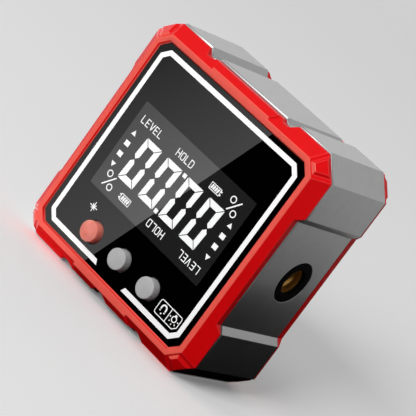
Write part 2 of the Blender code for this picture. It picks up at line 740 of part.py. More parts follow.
def make_board():
    """Circuit board with its two chips behind and the rubber keypad in front."""
    board = block(
        "circuit_board", octagon(HALF - BOARD_HALF, BOARD_CUT),
        BOARD_DEPTH, BOARD_DEPTH + BOARD_THICKNESS, BOARD_GREEN,
    )
    relief_start = COLLAR_MOUTH + COLLAR_END - FIT
    relief_end = BOARD_HALF + OVERSHOOT
    relief_half = (relief_end - relief_start) / 2
    collar_relief = block(
        "collar_relief",
        rectangle(relief_half, COLLAR_RADIUS + FIT, relief_start + relief_half, 0.0),
        BOARD_DEPTH - OVERSHOOT, BOARD_DEPTH + BOARD_THICKNESS + OVERSHOOT, BOARD_GREEN,
    )
    combine(board, "DIFFERENCE", collar_relief)
    chip_front = BOARD_DEPTH + BOARD_THICKNESS + CONTACT_FIT
    block(
        "main_chip", rectangle(MAIN_CHIP_SIZE / 2, MAIN_CHIP_SIZE / 2, -CHIP_SPACING / 2, 0.0),
        chip_front, chip_front + MAIN_CHIP_HEIGHT, CHIP_BLACK,
    )
    block(
        "tilt_sensor", rectangle(SENSOR_SIZE / 2, SENSOR_SIZE / 2, CHIP_SPACING / 2, 0.0),
        chip_front, chip_front + SENSOR_HEIGHT, CHIP_BLACK,
    )
    keypad_back = BOARD_DEPTH - CONTACT_FIT
    keypad_front = keypad_back - KEYPAD_BASE
    dome_top = button_stem_depth() + BUTTON_TRAVEL + CONTACT_FIT
    keypad = block(
        "rubber_keypad",
        rectangle(BUTTON_SPACING + KEYPAD_MARGIN, KEYPAD_MARGIN, 0.0, -BUTTON_DROP),
        keypad_front, keypad_back, SILICONE,
    )
    for position in (-1, 0, 1):
        x, z = button_place(position)
        dome = turned(
            "keypad_dome_" + str(position + 1),
            [(DOME_RADIUS, -CONTACT_FIT), (BUTTON_STEM_RADIUS, keypad_front - dome_top)],
            SMALL_ROUND_SIDES, SILICONE, (x, depth(keypad_front), z + CENTRE_Z), TOWARDS_FRONT,
        )
        combine(keypad, "UNION", dome)
    return keypad


def button_stem_depth():
    """Depth of the rear end of a button's stem, at rest."""
    return LENS_BACK + CONTACT_FIT + BUTTON_FLANGE_HEIGHT + BUTTON_STEM_LENGTH


def make_tripod_thread():
    """Black collar through the right wall, with the brass thread insert held behind its lip."""
    place = (COLLAR_MOUTH, depth(THREAD_DEPTH), CENTRE_Z)
    wall_inside = CAVITY_HALF - FIT - COLLAR_MOUTH
    seat_radius = INSERT_RADIUS + CONTACT_FIT
    collar_profile = [
        (COLLAR_RADIUS, COLLAR_END),
        (COLLAR_RADIUS, wall_inside - COLLAR_FLANGE_HEIGHT),
        (COLLAR_RADIUS + COLLAR_FLANGE, wall_inside - COLLAR_FLANGE_HEIGHT),
        (COLLAR_RADIUS + COLLAR_FLANGE, wall_inside),
        (COLLAR_RADIUS, wall_inside),
        (COLLAR_RADIUS, 0.0),
        (COLLAR_MOUTH_RADIUS, 0.0),
        (COLLAR_MOUTH_RADIUS, -COLLAR_LIP),
        (seat_radius, -COLLAR_LIP),
        (seat_radius, COLLAR_END + COLLAR_BACK),
    ]
    collar = turned("tripod_collar", collar_profile, ROUND_SIDES, BLACK_PLASTIC, place, TOWARDS_RIGHT)
    insert = turned(
        "thread_insert",
        [(INSERT_RADIUS, INSERT_BACK), (INSERT_RADIUS, INSERT_MOUTH)],
        ROUND_SIDES, BRASS, place, TOWARDS_RIGHT,
    )
    bore = turned(
        "thread_bore",
        [(THREAD_RADIUS, INSERT_BACK - OVERSHOOT), (THREAD_RADIUS, INSERT_MOUTH + OVERSHOOT)],
        ROUND_SIDES, BRASS, place, TOWARDS_RIGHT,
    )
    combine(insert, "DIFFERENCE", bore)
    return collar, insert


def make_magnets():
    """Four bar magnets glued inside the top and bottom walls."""
    half_length = (MAGNET_END - MAGNET_START) / 2
    middle = MAGNET_START + half_length
    rise = CAVITY_HALF - FIT - MAGNET_THICKNESS / 2
    for name, across, upwards in (
        ("magnet_top_left", -1, 1),
        ("magnet_top_right", 1, 1),
        ("magnet_bottom_left", -1, -1),
        ("magnet_bottom_right", 1, -1),
    ):
        outline = rectangle(half_length, MAGNET_THICKNESS / 2, across * middle, upwards * rise)
        block(name, outline, MAGNET_FRONT, MAGNET_BACK, MAGNET_PLATE)


def contact_spring(name, x, wall_z, upwards):
    """A conical contact spring standing on its plate, wound by a formula."""
    steps_per_turn = 16
    wire_sides = 6
    steps = int(steps_per_turn * SPRING_TURNS)
    rise_start = SPRING_WIRE / 2
    rise_end = SPRING_LENGTH - SPRING_WIRE / 2
    shape = bmesh.new()
    rings = []
    for step in range(steps + 1):
        share = step / steps
        angle = 2 * math.pi * SPRING_TURNS * share
        radius = SPRING_OUTER + (SPRING_INNER - SPRING_OUTER) * share
        rise = rise_start + (rise_end - rise_start) * share
        outwards = Vector((math.cos(angle), math.sin(angle), 0.0))
        centre = outwards * radius + Vector((0.0, 0.0, rise))
        ring = []
        for side in range(wire_sides):
            around = 2 * math.pi * side / wire_sides
            offset = outwards * math.cos(around) + Vector((0.0, 0.0, math.sin(around)))
            ring.append(shape.verts.new(centre + offset * (SPRING_WIRE / 2)))
        rings.append(ring)
    for near, far in zip(rings, rings[1:]):
        for side in range(wire_sides):
            following = (side + 1) % wire_sides
            shape.faces.new((near[side], near[following], far[following], far[side]))
    shape.faces.new(rings[0])
    shape.faces.new(rings[-1])
    place = (x, depth(CELL_DEPTH), CENTRE_Z + wall_z)
    turn = (0.0, 0.0, 0.0) if upwards > 0 else UPSIDE_DOWN
    return new_object(name, shape, SPRING_STEEL, place, turn)


def make_battery_group():
    """Tray, two cells lying side by side head to tail, springs and contact plates."""
    tray = block(
        "battery_tray", rectangle(TRAY_HALF_WIDTH, TRAY_HALF_HEIGHT, BATTERY_OFFSET, 0.0),
        TRAY_FLOOR - TRAY_WALL, TRAY_RIM, BLACK_PLASTIC,
    )
    tray_room = block(
        "tray_room", rectangle(TRAY_INNER_WIDTH, TRAY_INNER_HEIGHT, BATTERY_OFFSET, 0.0),
        TRAY_FLOOR, TRAY_RIM + OVERSHOOT, BLACK_PLASTIC,
    )
    combine(tray, "DIFFERENCE", tray_room)
    cell_profile = [
        (CELL_RADIUS - CELL_BEVEL, 0.0),
        (CELL_RADIUS, CELL_BEVEL),
        (CELL_RADIUS, CELL_LENGTH - CELL_BEVEL),
        (CELL_RADIUS - CELL_BEVEL, CELL_LENGTH),
        (CELL_NUB_RADIUS, CELL_LENGTH),
        (CELL_NUB_RADIUS, CELL_LENGTH + CELL_NUB_LENGTH),
    ]
    for number, upwards in ((1, 1), (2, -1)):
        x = BATTERY_OFFSET - upwards * CELL_PITCH / 2
        turn = (0.0, 0.0, 0.0) if upwards > 0 else UPSIDE_DOWN
        place = (x, depth(CELL_DEPTH), CENTRE_Z - upwards * CELL_END)
        turned("battery_" + str(number), cell_profile, ROUND_SIDES, CELL_WRAP, place, turn)
        contact_spring("contact_spring_" + str(number), x, -upwards * SPRING_SEAT, upwards)
    plate_middle = PLATE_WALL - PLATE_THICKNESS / 2
    plate_half = PLATE_SIZE / 2
    plates = [
        ("contact_plate_upper", BATTERY_OFFSET, CELL_PITCH / 2 + plate_half, 1),
        ("contact_plate_left", BATTERY_OFFSET - CELL_PITCH / 2, plate_half, -1),
        ("contact_plate_right", BATTERY_OFFSET + CELL_PITCH / 2, plate_half, -1),
    ]
    for name, x, half_width, upwards in plates:
        outline = rectangle(half_width, PLATE_THICKNESS / 2, x, upwards * plate_middle)
        block(name, outline, CELL_DEPTH - plate_half, CELL_DEPTH + plate_half, SPRING_STEEL)
    return tray


def make_rear_panel():
    """Plain rear panel with the door's opening and four screw holes, and the door."""
    panel = block(
        "rear_panel", octagon(PANEL_INSET), REAR_PANEL_FRONT, REAR_PANEL_BACK, BLACK_PLASTIC
    )
    opening = block(
        "door_opening",
        rectangle(DOOR_HALF_WIDTH + FIT, DOOR_HALF_HEIGHT + FIT, BATTERY_OFFSET, 0.0),
        REAR_PANEL_FRONT - OVERSHOOT, REAR_PANEL_BACK + OVERSHOOT, BLACK_PLASTIC,
    )
    combine(panel, "DIFFERENCE", opening)
    for number, (x, z) in enumerate(screw_places()):
        hole = turned(
            "panel_hole_" + str(number),
            [(SCREW_HEAD_RADIUS + FIT, -OVERSHOOT), (SCREW_HEAD_RADIUS + FIT, REAR_PANEL_THICKNESS + OVERSHOOT)],
            SMALL_ROUND_SIDES, BLACK_PLASTIC, (x, depth(REAR_PANEL_FRONT), z + CENTRE_Z), TOWARDS_REAR,
        )
        combine(panel, "DIFFERENCE", hole)
    door = block(
        "battery_door", rectangle(DOOR_HALF_WIDTH, DOOR_HALF_HEIGHT, BATTERY_OFFSET, 0.0),
        REAR_PANEL_FRONT, REAR_PANEL_BACK, BLACK_PLASTIC,
    )
    scoop_half_angle = math.acos(1 - SCOOP_DEPTH / SCOOP_RADIUS)
    scoop_half = SCOOP_RADIUS * math.sin(scoop_half_angle)
    scoop_edge = DOOR_HALF_HEIGHT - scoop_half - TRAY_WALL
    scoop = turned(
        "door_scoop",
        [(SCOOP_RADIUS, -DOOR_HALF_WIDTH / 2), (SCOOP_RADIUS, DOOR_HALF_WIDTH / 2)],
        ROUND_SIDES, BLACK_PLASTIC,
        (BATTERY_OFFSET, depth(REAR_PANEL_BACK + SCOOP_RADIUS - SCOOP_DEPTH), CENTRE_Z - scoop_edge),
        TOWARDS_RIGHT,
    )
    combine(door, "DIFFERENCE", scoop)
    return panel, door


def make_screws():
    """Four cross-head screws that clamp the bezels together, from the rear."""
    head_seat = REAR_PANEL_FRONT
    profile = [
        (SCREW_RADIUS, -SCREW_LENGTH),
        (SCREW_RADIUS, 0.0),
        (SCREW_HEAD_RADIUS, 0.0),
        (SCREW_HEAD_RADIUS, SCREW_HEAD_HEIGHT - SCREW_HEAD_BEVEL),
        (SCREW_HEAD_RADIUS - SCREW_HEAD_BEVEL, SCREW_HEAD_HEIGHT),
    ]
    for number, (x, z) in enumerate(screw_places()):
        place = (x, depth(head_seat), z + CENTRE_Z)
        screw = turned(
            "screw_" + str(number + 1), profile, SMALL_ROUND_SIDES, SCREW_STEEL, place, TOWARDS_REAR
        )
        slot_top = head_seat + SCREW_HEAD_HEIGHT
        for way, half_width, half_height in (
            ("across", SCREW_SLOT_LENGTH / 2, SCREW_SLOT_WIDTH / 2),
            ("along", SCREW_SLOT_WIDTH / 2, SCREW_SLOT_LENGTH / 2),
        ):
            slot = block(
                "slot_" + way + "_" + str(number + 1), rectangle(half_width, half_height, x, z),
                slot_top - SCREW_SLOT_DEPTH, slot_top + OVERSHOOT, SCREW_STEEL,
            )
            combine(screw, "DIFFERENCE", slot)


make_frame()
make_bezels()
make_front_panel()
make_buttons()
make_display()
make_board()
make_tripod_thread()
make_magnets()
make_battery_group()
make_rear_panel()
make_screws()
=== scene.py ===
# %% [markdown]
# # Dressing a digital angle gauge
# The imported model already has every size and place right. This script gives each visible surface its
# finish, rounds the edges that a mould or a cutter would round, and draws the marks of the display.
# A face drawn in a flat plane could be photographed and projected instead, but marks made as thin
# shapes stay sharp from any distance and are easy to change.

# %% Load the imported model
import math

import bmesh
import bpy
from mathutils import Euler, Matrix, Vector


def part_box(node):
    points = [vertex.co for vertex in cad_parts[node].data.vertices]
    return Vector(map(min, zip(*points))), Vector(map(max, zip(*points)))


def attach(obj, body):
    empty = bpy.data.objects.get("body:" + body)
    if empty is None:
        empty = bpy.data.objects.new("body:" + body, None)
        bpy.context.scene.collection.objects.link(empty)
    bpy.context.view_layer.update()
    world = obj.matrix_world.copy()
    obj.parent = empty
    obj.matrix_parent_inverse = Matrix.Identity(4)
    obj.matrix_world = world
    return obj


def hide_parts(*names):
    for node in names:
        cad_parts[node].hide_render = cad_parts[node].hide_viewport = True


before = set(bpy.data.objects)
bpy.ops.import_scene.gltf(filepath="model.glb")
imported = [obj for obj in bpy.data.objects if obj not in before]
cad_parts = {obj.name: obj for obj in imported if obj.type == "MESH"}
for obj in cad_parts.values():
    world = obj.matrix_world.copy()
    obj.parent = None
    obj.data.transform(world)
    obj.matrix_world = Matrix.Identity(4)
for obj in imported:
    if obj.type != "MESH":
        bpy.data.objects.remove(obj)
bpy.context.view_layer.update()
MM = 0.001

# %% [markdown]
# ## Where things are
# Everything on the face is measured from the middle of the front lens, so those few places are read
# from the model once. A typed copy of them could be wrong after the next change of size.

# %% Places on the gauge
lens_low, lens_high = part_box("front_lens")
FACE_MIDDLE = (lens_low + lens_high) / 2
LENS_FRONT_Y = lens_low.y
MIDDLE_Z_MM = FACE_MIDDLE.z / MM
print("lens front at y", round(LENS_FRONT_Y / MM, 2), "mm, middle at z", round(MIDDLE_Z_MM, 2), "mm")

# %% [markdown]
# ## Colours and nodes
# A colour picked on a screen is an sRGB value, and shaders work with linear light. One function turns
# the first into the second. Another adds a node, sets its values and links its inputs, which keeps
# each material readable as a short list of steps.

# %% Colour and node helpers
def srgb(code):
    """Linear RGBA from an sRGB hex code such as #E9060C."""
    linear = []
    for start in (1, 3, 5):
        value = int(code[start:start + 2], 16) / 255
        linear.append(value / 12.92 if value <= 0.04045 else ((value + 0.055) / 1.055) ** 2.4)
    return (*linear, 1.0)


def add_node(tree, kind, inputs=None, operation=None):
    """Add a node. Inputs are values, or sockets of other nodes to link from."""
    node = tree.nodes.new(kind)
    if operation:
        node.operation = operation
    for key, value in (inputs or {}).items():
        socket = node.inputs[key]
        if isinstance(value, bpy.types.NodeSocket):
            tree.links.new(value, socket)
        else:
            socket.default_value = value
    return node


def new_material(name, colour, roughness, metallic=0.0, **sockets):
    """A Principled material, with its tree and its shader, ready for detail."""
    made = bpy.data.materials.new(name)
    made.use_nodes = True
    tree = made.node_tree
    shader = tree.nodes["Principled BSDF"]
    shader.inputs["Base Color"].default_value = srgb(colour)
    shader.inputs["Roughness"].default_value = roughness
    shader.inputs["Metallic"].default_value = metallic
    for socket, value in sockets.items():
        shader.inputs[socket.replace("_", " ")].default_value = value
    made.diffuse_color = srgb(colour)
    return made, tree, shader


print("red flank in linear light", [round(part, 3) for part in srgb("#E9060C")[:3]])

# %% [markdown]
# ## Surface grain
# Moulded plastic copies the spark-eroded grain of its mould, and blasted metal keeps the dents of the
# beads. Both are a fine random relief, so one function adds it: noise at the real grain size drives a
# bump, shifts the roughness a little, and mottles the colour by a few per cent. The noise reads Object
# coordinates in metres, so a grain of 0.2 mm is a scale of 1 / 0.0002.

# %% Grain helper
PATCH_TO_GRAIN = 8
NOISE_LOW = 0.3
NOISE_HIGH = 0.7


def add_grain(tree, shader, grain_mm, relief_mm, colour, mottle=0.0, roughness_spread=0.0):
    """Random relief of a given grain size, with a slight change of colour and roughness."""
    place = add_node(tree, "ShaderNodeTexCoord")
    grain = add_node(
        tree, "ShaderNodeTexNoise",
        {"Vector": place.outputs["Object"], "Scale": 1 / (grain_mm * MM), "Detail": 3.0, "Roughness": 0.6},
    )
    bump = add_node(
        tree, "ShaderNodeBump", {"Height": grain.outputs["Fac"], "Distance": relief_mm * MM}
    )
    tree.links.new(bump.outputs["Normal"], shader.inputs["Normal"])
    if mottle:
        patches = add_node(
            tree, "ShaderNodeTexNoise",
            {"Vector": place.outputs["Object"], "Scale": 1 / (PATCH_TO_GRAIN * grain_mm * MM), "Detail": 4.0},
        )
        base = srgb(colour)
        ramp = add_node(tree, "ShaderNodeValToRGB", {"Fac": patches.outputs["Fac"]})
        ends = ((NOISE_LOW, 1 - mottle), (NOISE_HIGH, 1 + mottle))
        for stop, (position, factor) in zip(ramp.color_ramp.elements, ends):
            stop.position = position
            stop.color = (*[min(1.0, part * factor) for part in base[:3]], 1.0)
        tree.links.new(ramp.outputs["Color"], shader.inputs["Base Color"])
    if roughness_spread:
        middle = shader.inputs["Roughness"].default_value
        spread = add_node(
            tree, "ShaderNodeMapRange",
            {
                "Value": grain.outputs["Fac"],
                "From Min": NOISE_LOW,
                "From Max": NOISE_HIGH,
                "To Min": middle - roughness_spread,
                "To Max": middle + roughness_spread,
            },
        )
        tree.links.new(spread.outputs["Result"], shader.inputs["Roughness"])
    return place


def grained(name, colour, roughness, grain_mm, relief_mm, metallic=0.0, mottle=0.0, spread=0.0, **sockets):
    """A material that is its colour with grain."""
    made, tree, shader = new_material(name, colour, roughness, metallic, **sockets)
    add_grain(tree, shader, grain_mm, relief_mm, colour, mottle, spread)
    return made

# %% [markdown]
# ## The metals
# The frame is cut from an aluminium tube, bead blasted and clear anodised: an even satin grey with no
# direction. Along its top and bottom the front and rear edges are then cut with a diamond tool, which
# leaves a narrow bright line. The thread insert is turned brass. Grey or yellow paint would look dull
# beside them, so all are metals, and only their roughness and tone differ.

# %% Metal finishes
BLASTED_ALUMINIUM = grained(
    "bead_blasted_aluminium", "#B9B9B9", 0.45, 0.3, 0.01, metallic=1.0, mottle=0.03, spread=0.06
)
CUT_EDGE = grained("diamond_cut_aluminium_edge", "#F7F7F7", 0.25, 0.4, 0.001, metallic=1.0)
BRASS = grained("turned_brass", "#C99B50", 0.34, 0.2, 0.003, metallic=0.8, mottle=0.05, spread=0.05)
print("metals", BLASTED_ALUMINIUM.name, CUT_EDGE.name, BRASS.name)

# %% [markdown]
# ## The plastics and rubbers
# The bezels are moulded in red ABS. Their flanks are deep red with little sheen, which a low index of
# refraction gives. The flat rim is more matt, and its paler colour is a painted sheen, the veil of the front
# light that its face reflects. The handled edges are the glossiest. The lens is acrylic, printed black from
# behind, so its front is as smooth as glass. The collar is matt nylon, the rear panel and the door are ABS.
# All of these let in so little light at this size that an opaque shader does. The red silicone lets in
# more, so it scatters light below its surface, and that softens its shaded side. The caps' speckle is
# drawn a little coarser than the real one, or it would vanish.

# %% Plastic and rubber finishes
RED_ABS = grained("moulded_red_abs", "#E9060C", 0.4, 0.3, 0.004, mottle=0.03, spread=0.05, IOR=1.22)
# The rim's paler colour is a painted sheen; its higher roughness is the real satin finish.
RIM_ABS_PAINTED_SHEEN = grained("satin_red_abs_rim_painted_sheen", "#F25A4D", 0.55, 0.3, 0.003, mottle=0.03, spread=0.05, IOR=1.3)
EDGE_ABS = grained("handled_red_abs_edge", "#F01A20", 0.24, 0.3, 0.002, IOR=1.5)
BLACK_ACRYLIC = grained("black_backed_acrylic", "#010101", 0.008, 6.0, 0.0004, IOR=1.49)
BLACK_NYLON = grained("black_nylon", "#020202", 0.8, 0.3, 0.004, mottle=0.1, spread=0.06, IOR=1.15)
BLACK_ABS = grained("black_textured_abs", "#151617", 0.5, 0.3, 0.012, mottle=0.08, spread=0.08)
RED_SILICONE = grained(
    "red_silicone_rubber", "#FF8A7C", 0.6, 0.35, 0.016, mottle=0.2, spread=0.05, IOR=1.35,
    Subsurface_Weight=0.8, Subsurface_Scale=0.003,
)
GREY_SILICONE = grained("grey_silicone_rubber", "#B9B9B9", 0.6, 0.35, 0.012, mottle=0.06, spread=0.05, IOR=1.35)
print("plastics", RED_ABS.name, BLACK_ACRYLIC.name, BLACK_NYLON.name, BLACK_ABS.name)

# %% [markdown]
# ## The printed and lit marks
# The border and the small signs are screen printed in white. The display is a liquid crystal with white
# segments on a dark ground and a light behind it, so its segments glow a little. The ink has no light
# behind it, so its weaker glow is painted light, which keeps it white where the lens is dark. The display's
# polariser shows as a slightly paler rectangle in the black lens, because it mirrors a little more than the
# acrylic.

# %% Mark finishes
WHITE = srgb("#FFFFFF")
# The print's white is its own colour; its glow is painted light, since ink is no lamp.
WHITE_INK_PAINTED_GLOW = grained(
    "white_screen_print_painted_glow", "#F7F7F7", 0.5, 0.05, 0.001, Emission_Color=WHITE, Emission_Strength=0.15
)
LIT_SEGMENT = grained(
    "lit_display_segment", "#F4F5F5", 0.3, 0.05, 0.001, Emission_Color=WHITE, Emission_Strength=0.2
)
POLARISER = grained("display_polariser", "#232323", 0.01, 6.0, 0.0004, IOR=1.75)
print("marks", WHITE_INK_PAINTED_GLOW.name, LIT_SEGMENT.name, POLARISER.name)

# %% [markdown]
# ## Parts behind the lens and the door
# These are seen only when the door is off, but each still gets what it is made of: a green board with
# a solder mask, epoxy chips, springs of nickel plated steel, cells in a printed wrap. The table gives
# colour, roughness, metal or not, and the grain of each, which is enough for pieces that stay inside.

# %% Inner finishes
def give_finish(node, finish):
    """Give a solid of the model its finish and leave its shape alone."""
    for material_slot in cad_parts[node].material_slots:
        material_slot.material = finish


INNER_FINISHES = (
    ("black_foam", "#1A1A1B", 0.95, 0.0, 0.25, 0.02, ("lens_gasket",)),
    ("display_glass", "#1C1F22", 0.08, 0.0, 3.0, 0.001, ("lcd_glass",)),
    ("black_holder_plastic", "#111213", 0.5, 0.0, 0.2, 0.004, ("lcd_holder",)),
    ("white_diffuser", "#EDEFF0", 0.4, 0.0, 0.3, 0.002, ("backlight",)),
    ("connector_rubber", "#A7A9AE", 0.6, 0.0, 0.2, 0.004, ("zebra_strip_upper", "zebra_strip_lower")),
    ("green_solder_mask", "#12602F", 0.35, 0.0, 0.6, 0.004, ("circuit_board",)),
    ("black_epoxy", "#191A1B", 0.5, 0.0, 0.1, 0.003, ("main_chip", "tilt_sensor")),
    ("keypad_silicone", "#B9BBBD", 0.6, 0.0, 0.2, 0.003, ("rubber_keypad",)),
    (
        "nickel_plate", "#C4C5C9", 0.22, 1.0, 0.4, 0.002,
        ("magnet_top_left", "magnet_top_right", "magnet_bottom_left", "magnet_bottom_right"),
    ),
    ("black_tray_plastic", "#121314", 0.5, 0.0, 0.25, 0.006, ("battery_tray",)),
    (
        "spring_steel", "#C9CACC", 0.28, 1.0, 0.3, 0.002,
        (
            "contact_spring_1", "contact_spring_2",
            "contact_plate_upper", "contact_plate_left", "contact_plate_right",
        ),
    ),
)
for name, colour, roughness, metallic, grain_mm, relief_mm, nodes in INNER_FINISHES:
    finish = grained(name, colour, roughness, grain_mm, relief_mm, metallic, mottle=0.06)
    for node in nodes:
        give_finish(node, finish)
print("inner materials", len(INNER_FINISHES))

# %% [markdown]
# ## The two cells
# A cell is a steel can in a printed wrap. The wrap stops a little short of each end, where bare metal
# shows. Two flat colours that change along the cell say that, so the height in Object coordinates goes
# through a colour ramp with hard steps. The second cell lies head to tail, so its ramp is the reverse.

# %% Cell wraps
WRAP_DARK = "#1B2A4E"
WRAP_PALE = "#C9CCD2"
CAN_METAL = "#B9BABD"
CAN_SHOWS = 0.03
for node, change, lower, upper in (
    ("battery_1", 0.3, WRAP_DARK, WRAP_PALE),
    ("battery_2", 0.7, WRAP_PALE, WRAP_DARK),
):
    cell_low, cell_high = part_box(node)
    wrap, tree, shader = new_material(node + "_wrap", WRAP_DARK, 0.35)
    place = add_grain(tree, shader, 0.3, 0.002, WRAP_DARK)
    split = add_node(tree, "ShaderNodeSeparateXYZ", {"Vector": place.outputs["Object"]})
    along = add_node(
        tree, "ShaderNodeMapRange",
        {"Value": split.outputs["Z"], "From Min": cell_low.z, "From Max": cell_high.z},
    )
    bands = add_node(tree, "ShaderNodeValToRGB", {"Fac": along.outputs["Result"]})
    stops = bands.color_ramp.elements
    bands.color_ramp.interpolation = "CONSTANT"
    stops[0].color = srgb(CAN_METAL)
    stops[1].position = CAN_SHOWS
    stops[1].color = srgb(lower)
    stops.new(change).color = srgb(upper)
    stops.new(1 - CAN_SHOWS).color = srgb(CAN_METAL)
    tree.links.new(bands.outputs["Color"], shader.inputs["Base Color"])
    give_finish(node, wrap)
    print(node, "is", round((cell_high.z - cell_low.z) / MM, 2), "mm long")

# %% [markdown]
# ## From a shape to a piece
# Each piece is drawn as a bmesh in millimetres. This function scales it, sets it in its place, makes
# the normals face outwards and hands it to the body that it moves with. The object itself stays at the
# origin, because its place belongs in its mesh.

# %% Piece helper
def finish_piece(name, shape, materials, body, matrix=None, smooth_angle=None):
    """A bmesh in millimetres becomes a named object that rides on a body."""
    shape.transform(Matrix.Scale(MM, 4))
    if matrix is not None:
        shape.transform(matrix)
    bmesh.ops.recalc_face_normals(shape, faces=shape.faces[:])
    mesh = bpy.data.meshes.new(name)
    shape.to_mesh(mesh)
    shape.free()
    for finish in materials:
        mesh.materials.append(finish)
    if smooth_angle is not None:
        mesh.shade_smooth()
        mesh.set_sharp_from_angle(angle=math.radians(smooth_angle))
    piece = bpy.data.objects.new(name, mesh)
    bpy.context.collection.objects.link(piece)
    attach(piece, body)
    return piece

# %% [markdown]
# ## Broken edges on the moulded and cut parts
# No real edge is a perfect corner: a mould has a radius of about a tenth of a millimetre, and a cutter's
# burr is broken. That thin round is what catches the light along every edge. The model's solids are
# loose triangles, so a copy is merged, its flat faces are joined, and a bevel runs along the sharp edges.
# Weighted normals then keep the large faces flat while the narrow rounds stay smooth.

# %% Edge helper
WELD_MM = 0.002
FLAT_DEGREES = 0.5
SHARP_DEGREES = 25.0
LENGTH_TO_ROUND = 3
FACE_AREA_WEIGHT = 90


def with_broken_edges(node, edge_mm, choose=None, prepare=None, edge_slot=0):
    """A merged copy of a node, in mm, with its sharp edges rounded, and how many there were."""
    shape = bmesh.new()
    shape.from_mesh(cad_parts[node].data)
    shape.transform(Matrix.Scale(1 / MM, 4))
    bmesh.ops.remove_doubles(shape, verts=shape.verts[:], dist=WELD_MM)
    bmesh.ops.dissolve_degenerate(shape, edges=shape.edges[:], dist=WELD_MM)
    bmesh.ops.dissolve_limit(
        shape, angle_limit=math.radians(FLAT_DEGREES), verts=shape.verts[:], edges=shape.edges[:]
    )
    if prepare:
        prepare(shape)
    for face in shape.faces:
        face.material_index = 0
    sharp = [
        edge for edge in shape.edges
        if len(edge.link_faces) == 2
        and edge.calc_length() > LENGTH_TO_ROUND * edge_mm
        and edge.calc_face_angle(0.0) > math.radians(SHARP_DEGREES)
        and (choose is None or choose(edge))
    ]
    rounds = bmesh.ops.bevel(
        shape, geom=sharp, offset=edge_mm, offset_type="OFFSET", segments=2, profile=0.5,
        affect="EDGES", clamp_overlap=True, material=-1,
    )
    for face in rounds["faces"]:
        face.material_index = edge_slot
    return shape, len(sharp)


def replace_node(node, shape, materials, body, smooth_angle=50.0):
    """The finished copy takes the node's place, with normals weighted by face area."""
    piece = finish_piece(node + "_finished", shape, materials, body, smooth_angle=smooth_angle)
    weighted = piece.modifiers.new("flat_faces_stay_flat", "WEIGHTED_NORMAL")
    weighted.keep_sharp = True
    weighted.weight = FACE_AREA_WEIGHT
    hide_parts(node)

# %% [markdown]
# ## The metal frame
# The frame keeps the model's shape, and its edges are broken. The narrow faces that lean towards the
# front or the rear get the bright cut finish, but only along the top and bottom: the sides and the corner
# facets stay blasted up to the bezel.

# %% Frame piece
FRAME_EDGE_MM = 0.1
RIM_BAND_MM = 0.5
CUT_BAND_MM = 0.4
CUT_REACH_MM = 22.0
CUT_LEAN = (0.3, 0.95)
SIDEWAYS_LIMIT = 0.3
frame_low, frame_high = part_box("center_frame")


def from_rim(y):
    """How far a place in mm lies from the nearer of the two rims."""
    return min(y - frame_low.y / MM, frame_high.y / MM - y)


def away_from_rims(edge):
    """True for an edge that isn't one of the cut ones round a rim."""
    return from_rim((edge.verts[0].co.y + edge.verts[1].co.y) / 2) > RIM_BAND_MM


shape, count = with_broken_edges("center_frame", FRAME_EDGE_MM, away_from_rims)
for face in shape.faces:
    middle = face.calc_center_median()
    leaning = CUT_LEAN[0] < abs(face.normal.y) < CUT_LEAN[1]
    outside = max(abs(middle.x), abs(middle.z - MIDDLE_Z_MM)) > CUT_REACH_MM
    upright = abs(face.normal.x) < SIDEWAYS_LIMIT
    face.material_index = int(from_rim(middle.y) < CUT_BAND_MM and leaning and outside and upright)
replace_node("center_frame", shape, [BLASTED_ALUMINIUM, CUT_EDGE], "housing", smooth_angle=40.0)
print("frame edges broken", count)

# %% [markdown]
# ## The two red bezels
# They are mouldings of the same shape, one at each side. Their rim is a flat band with a satin face. Next
# to the lens it steps down to a narrow lip, the mould's second step. The dressed copy makes that lip a
# tenth of a millimetre wider and sinks it just below the lens, so that it draws a thin line round the
# panel. Only the outer edges are rounded: the others are crisp mould edges, or are never seen. The rim
# and the lip get the satin finish, whose paler colour is a painted sheen, the rounded edges the glossy one.

# %% Bezel helpers
BEZEL_EDGE_MM = 0.13
LEDGE_DROP_MM = 0.4
LIP_DROP_MM = 0.65
LIP_OUTSIDE_MM = 25.35
WIDER_LIP_MM = 25.45
RING_REACH_MM = 25.8
BEZEL_PROUD_MM = 3.7
NEAR_MM = 0.03
RIM_MARGIN_MM = 0.02
LIP_MARGIN_MM = 0.1
FACING_LEVEL = 0.9


def reach_of(corner):
    """How far a corner lies from the middle of the face, sideways or upwards, in mm."""
    return max(abs(corner.co.x), abs(corner.co.z - MIDDLE_Z_MM))


def shape_the_lip(shape, rim_y, outer):
    """Deepen the step between the rim and the lip, and move it outwards."""
    stretch = WIDER_LIP_MM / LIP_OUTSIDE_MM
    for corner in shape.verts:
        drop = (rim_y - corner.co.y) * outer
        if drop > LEDGE_DROP_MM + NEAR_MM or reach_of(corner) > LIP_OUTSIDE_MM + NEAR_MM:
            continue
        if reach_of(corner) > LIP_OUTSIDE_MM - NEAR_MM:
            corner.co.x *= stretch
            corner.co.z = MIDDLE_Z_MM + (corner.co.z - MIDDLE_Z_MM) * stretch
        if drop > LEDGE_DROP_MM - NEAR_MM:
            corner.co.y = rim_y - outer * LIP_DROP_MM


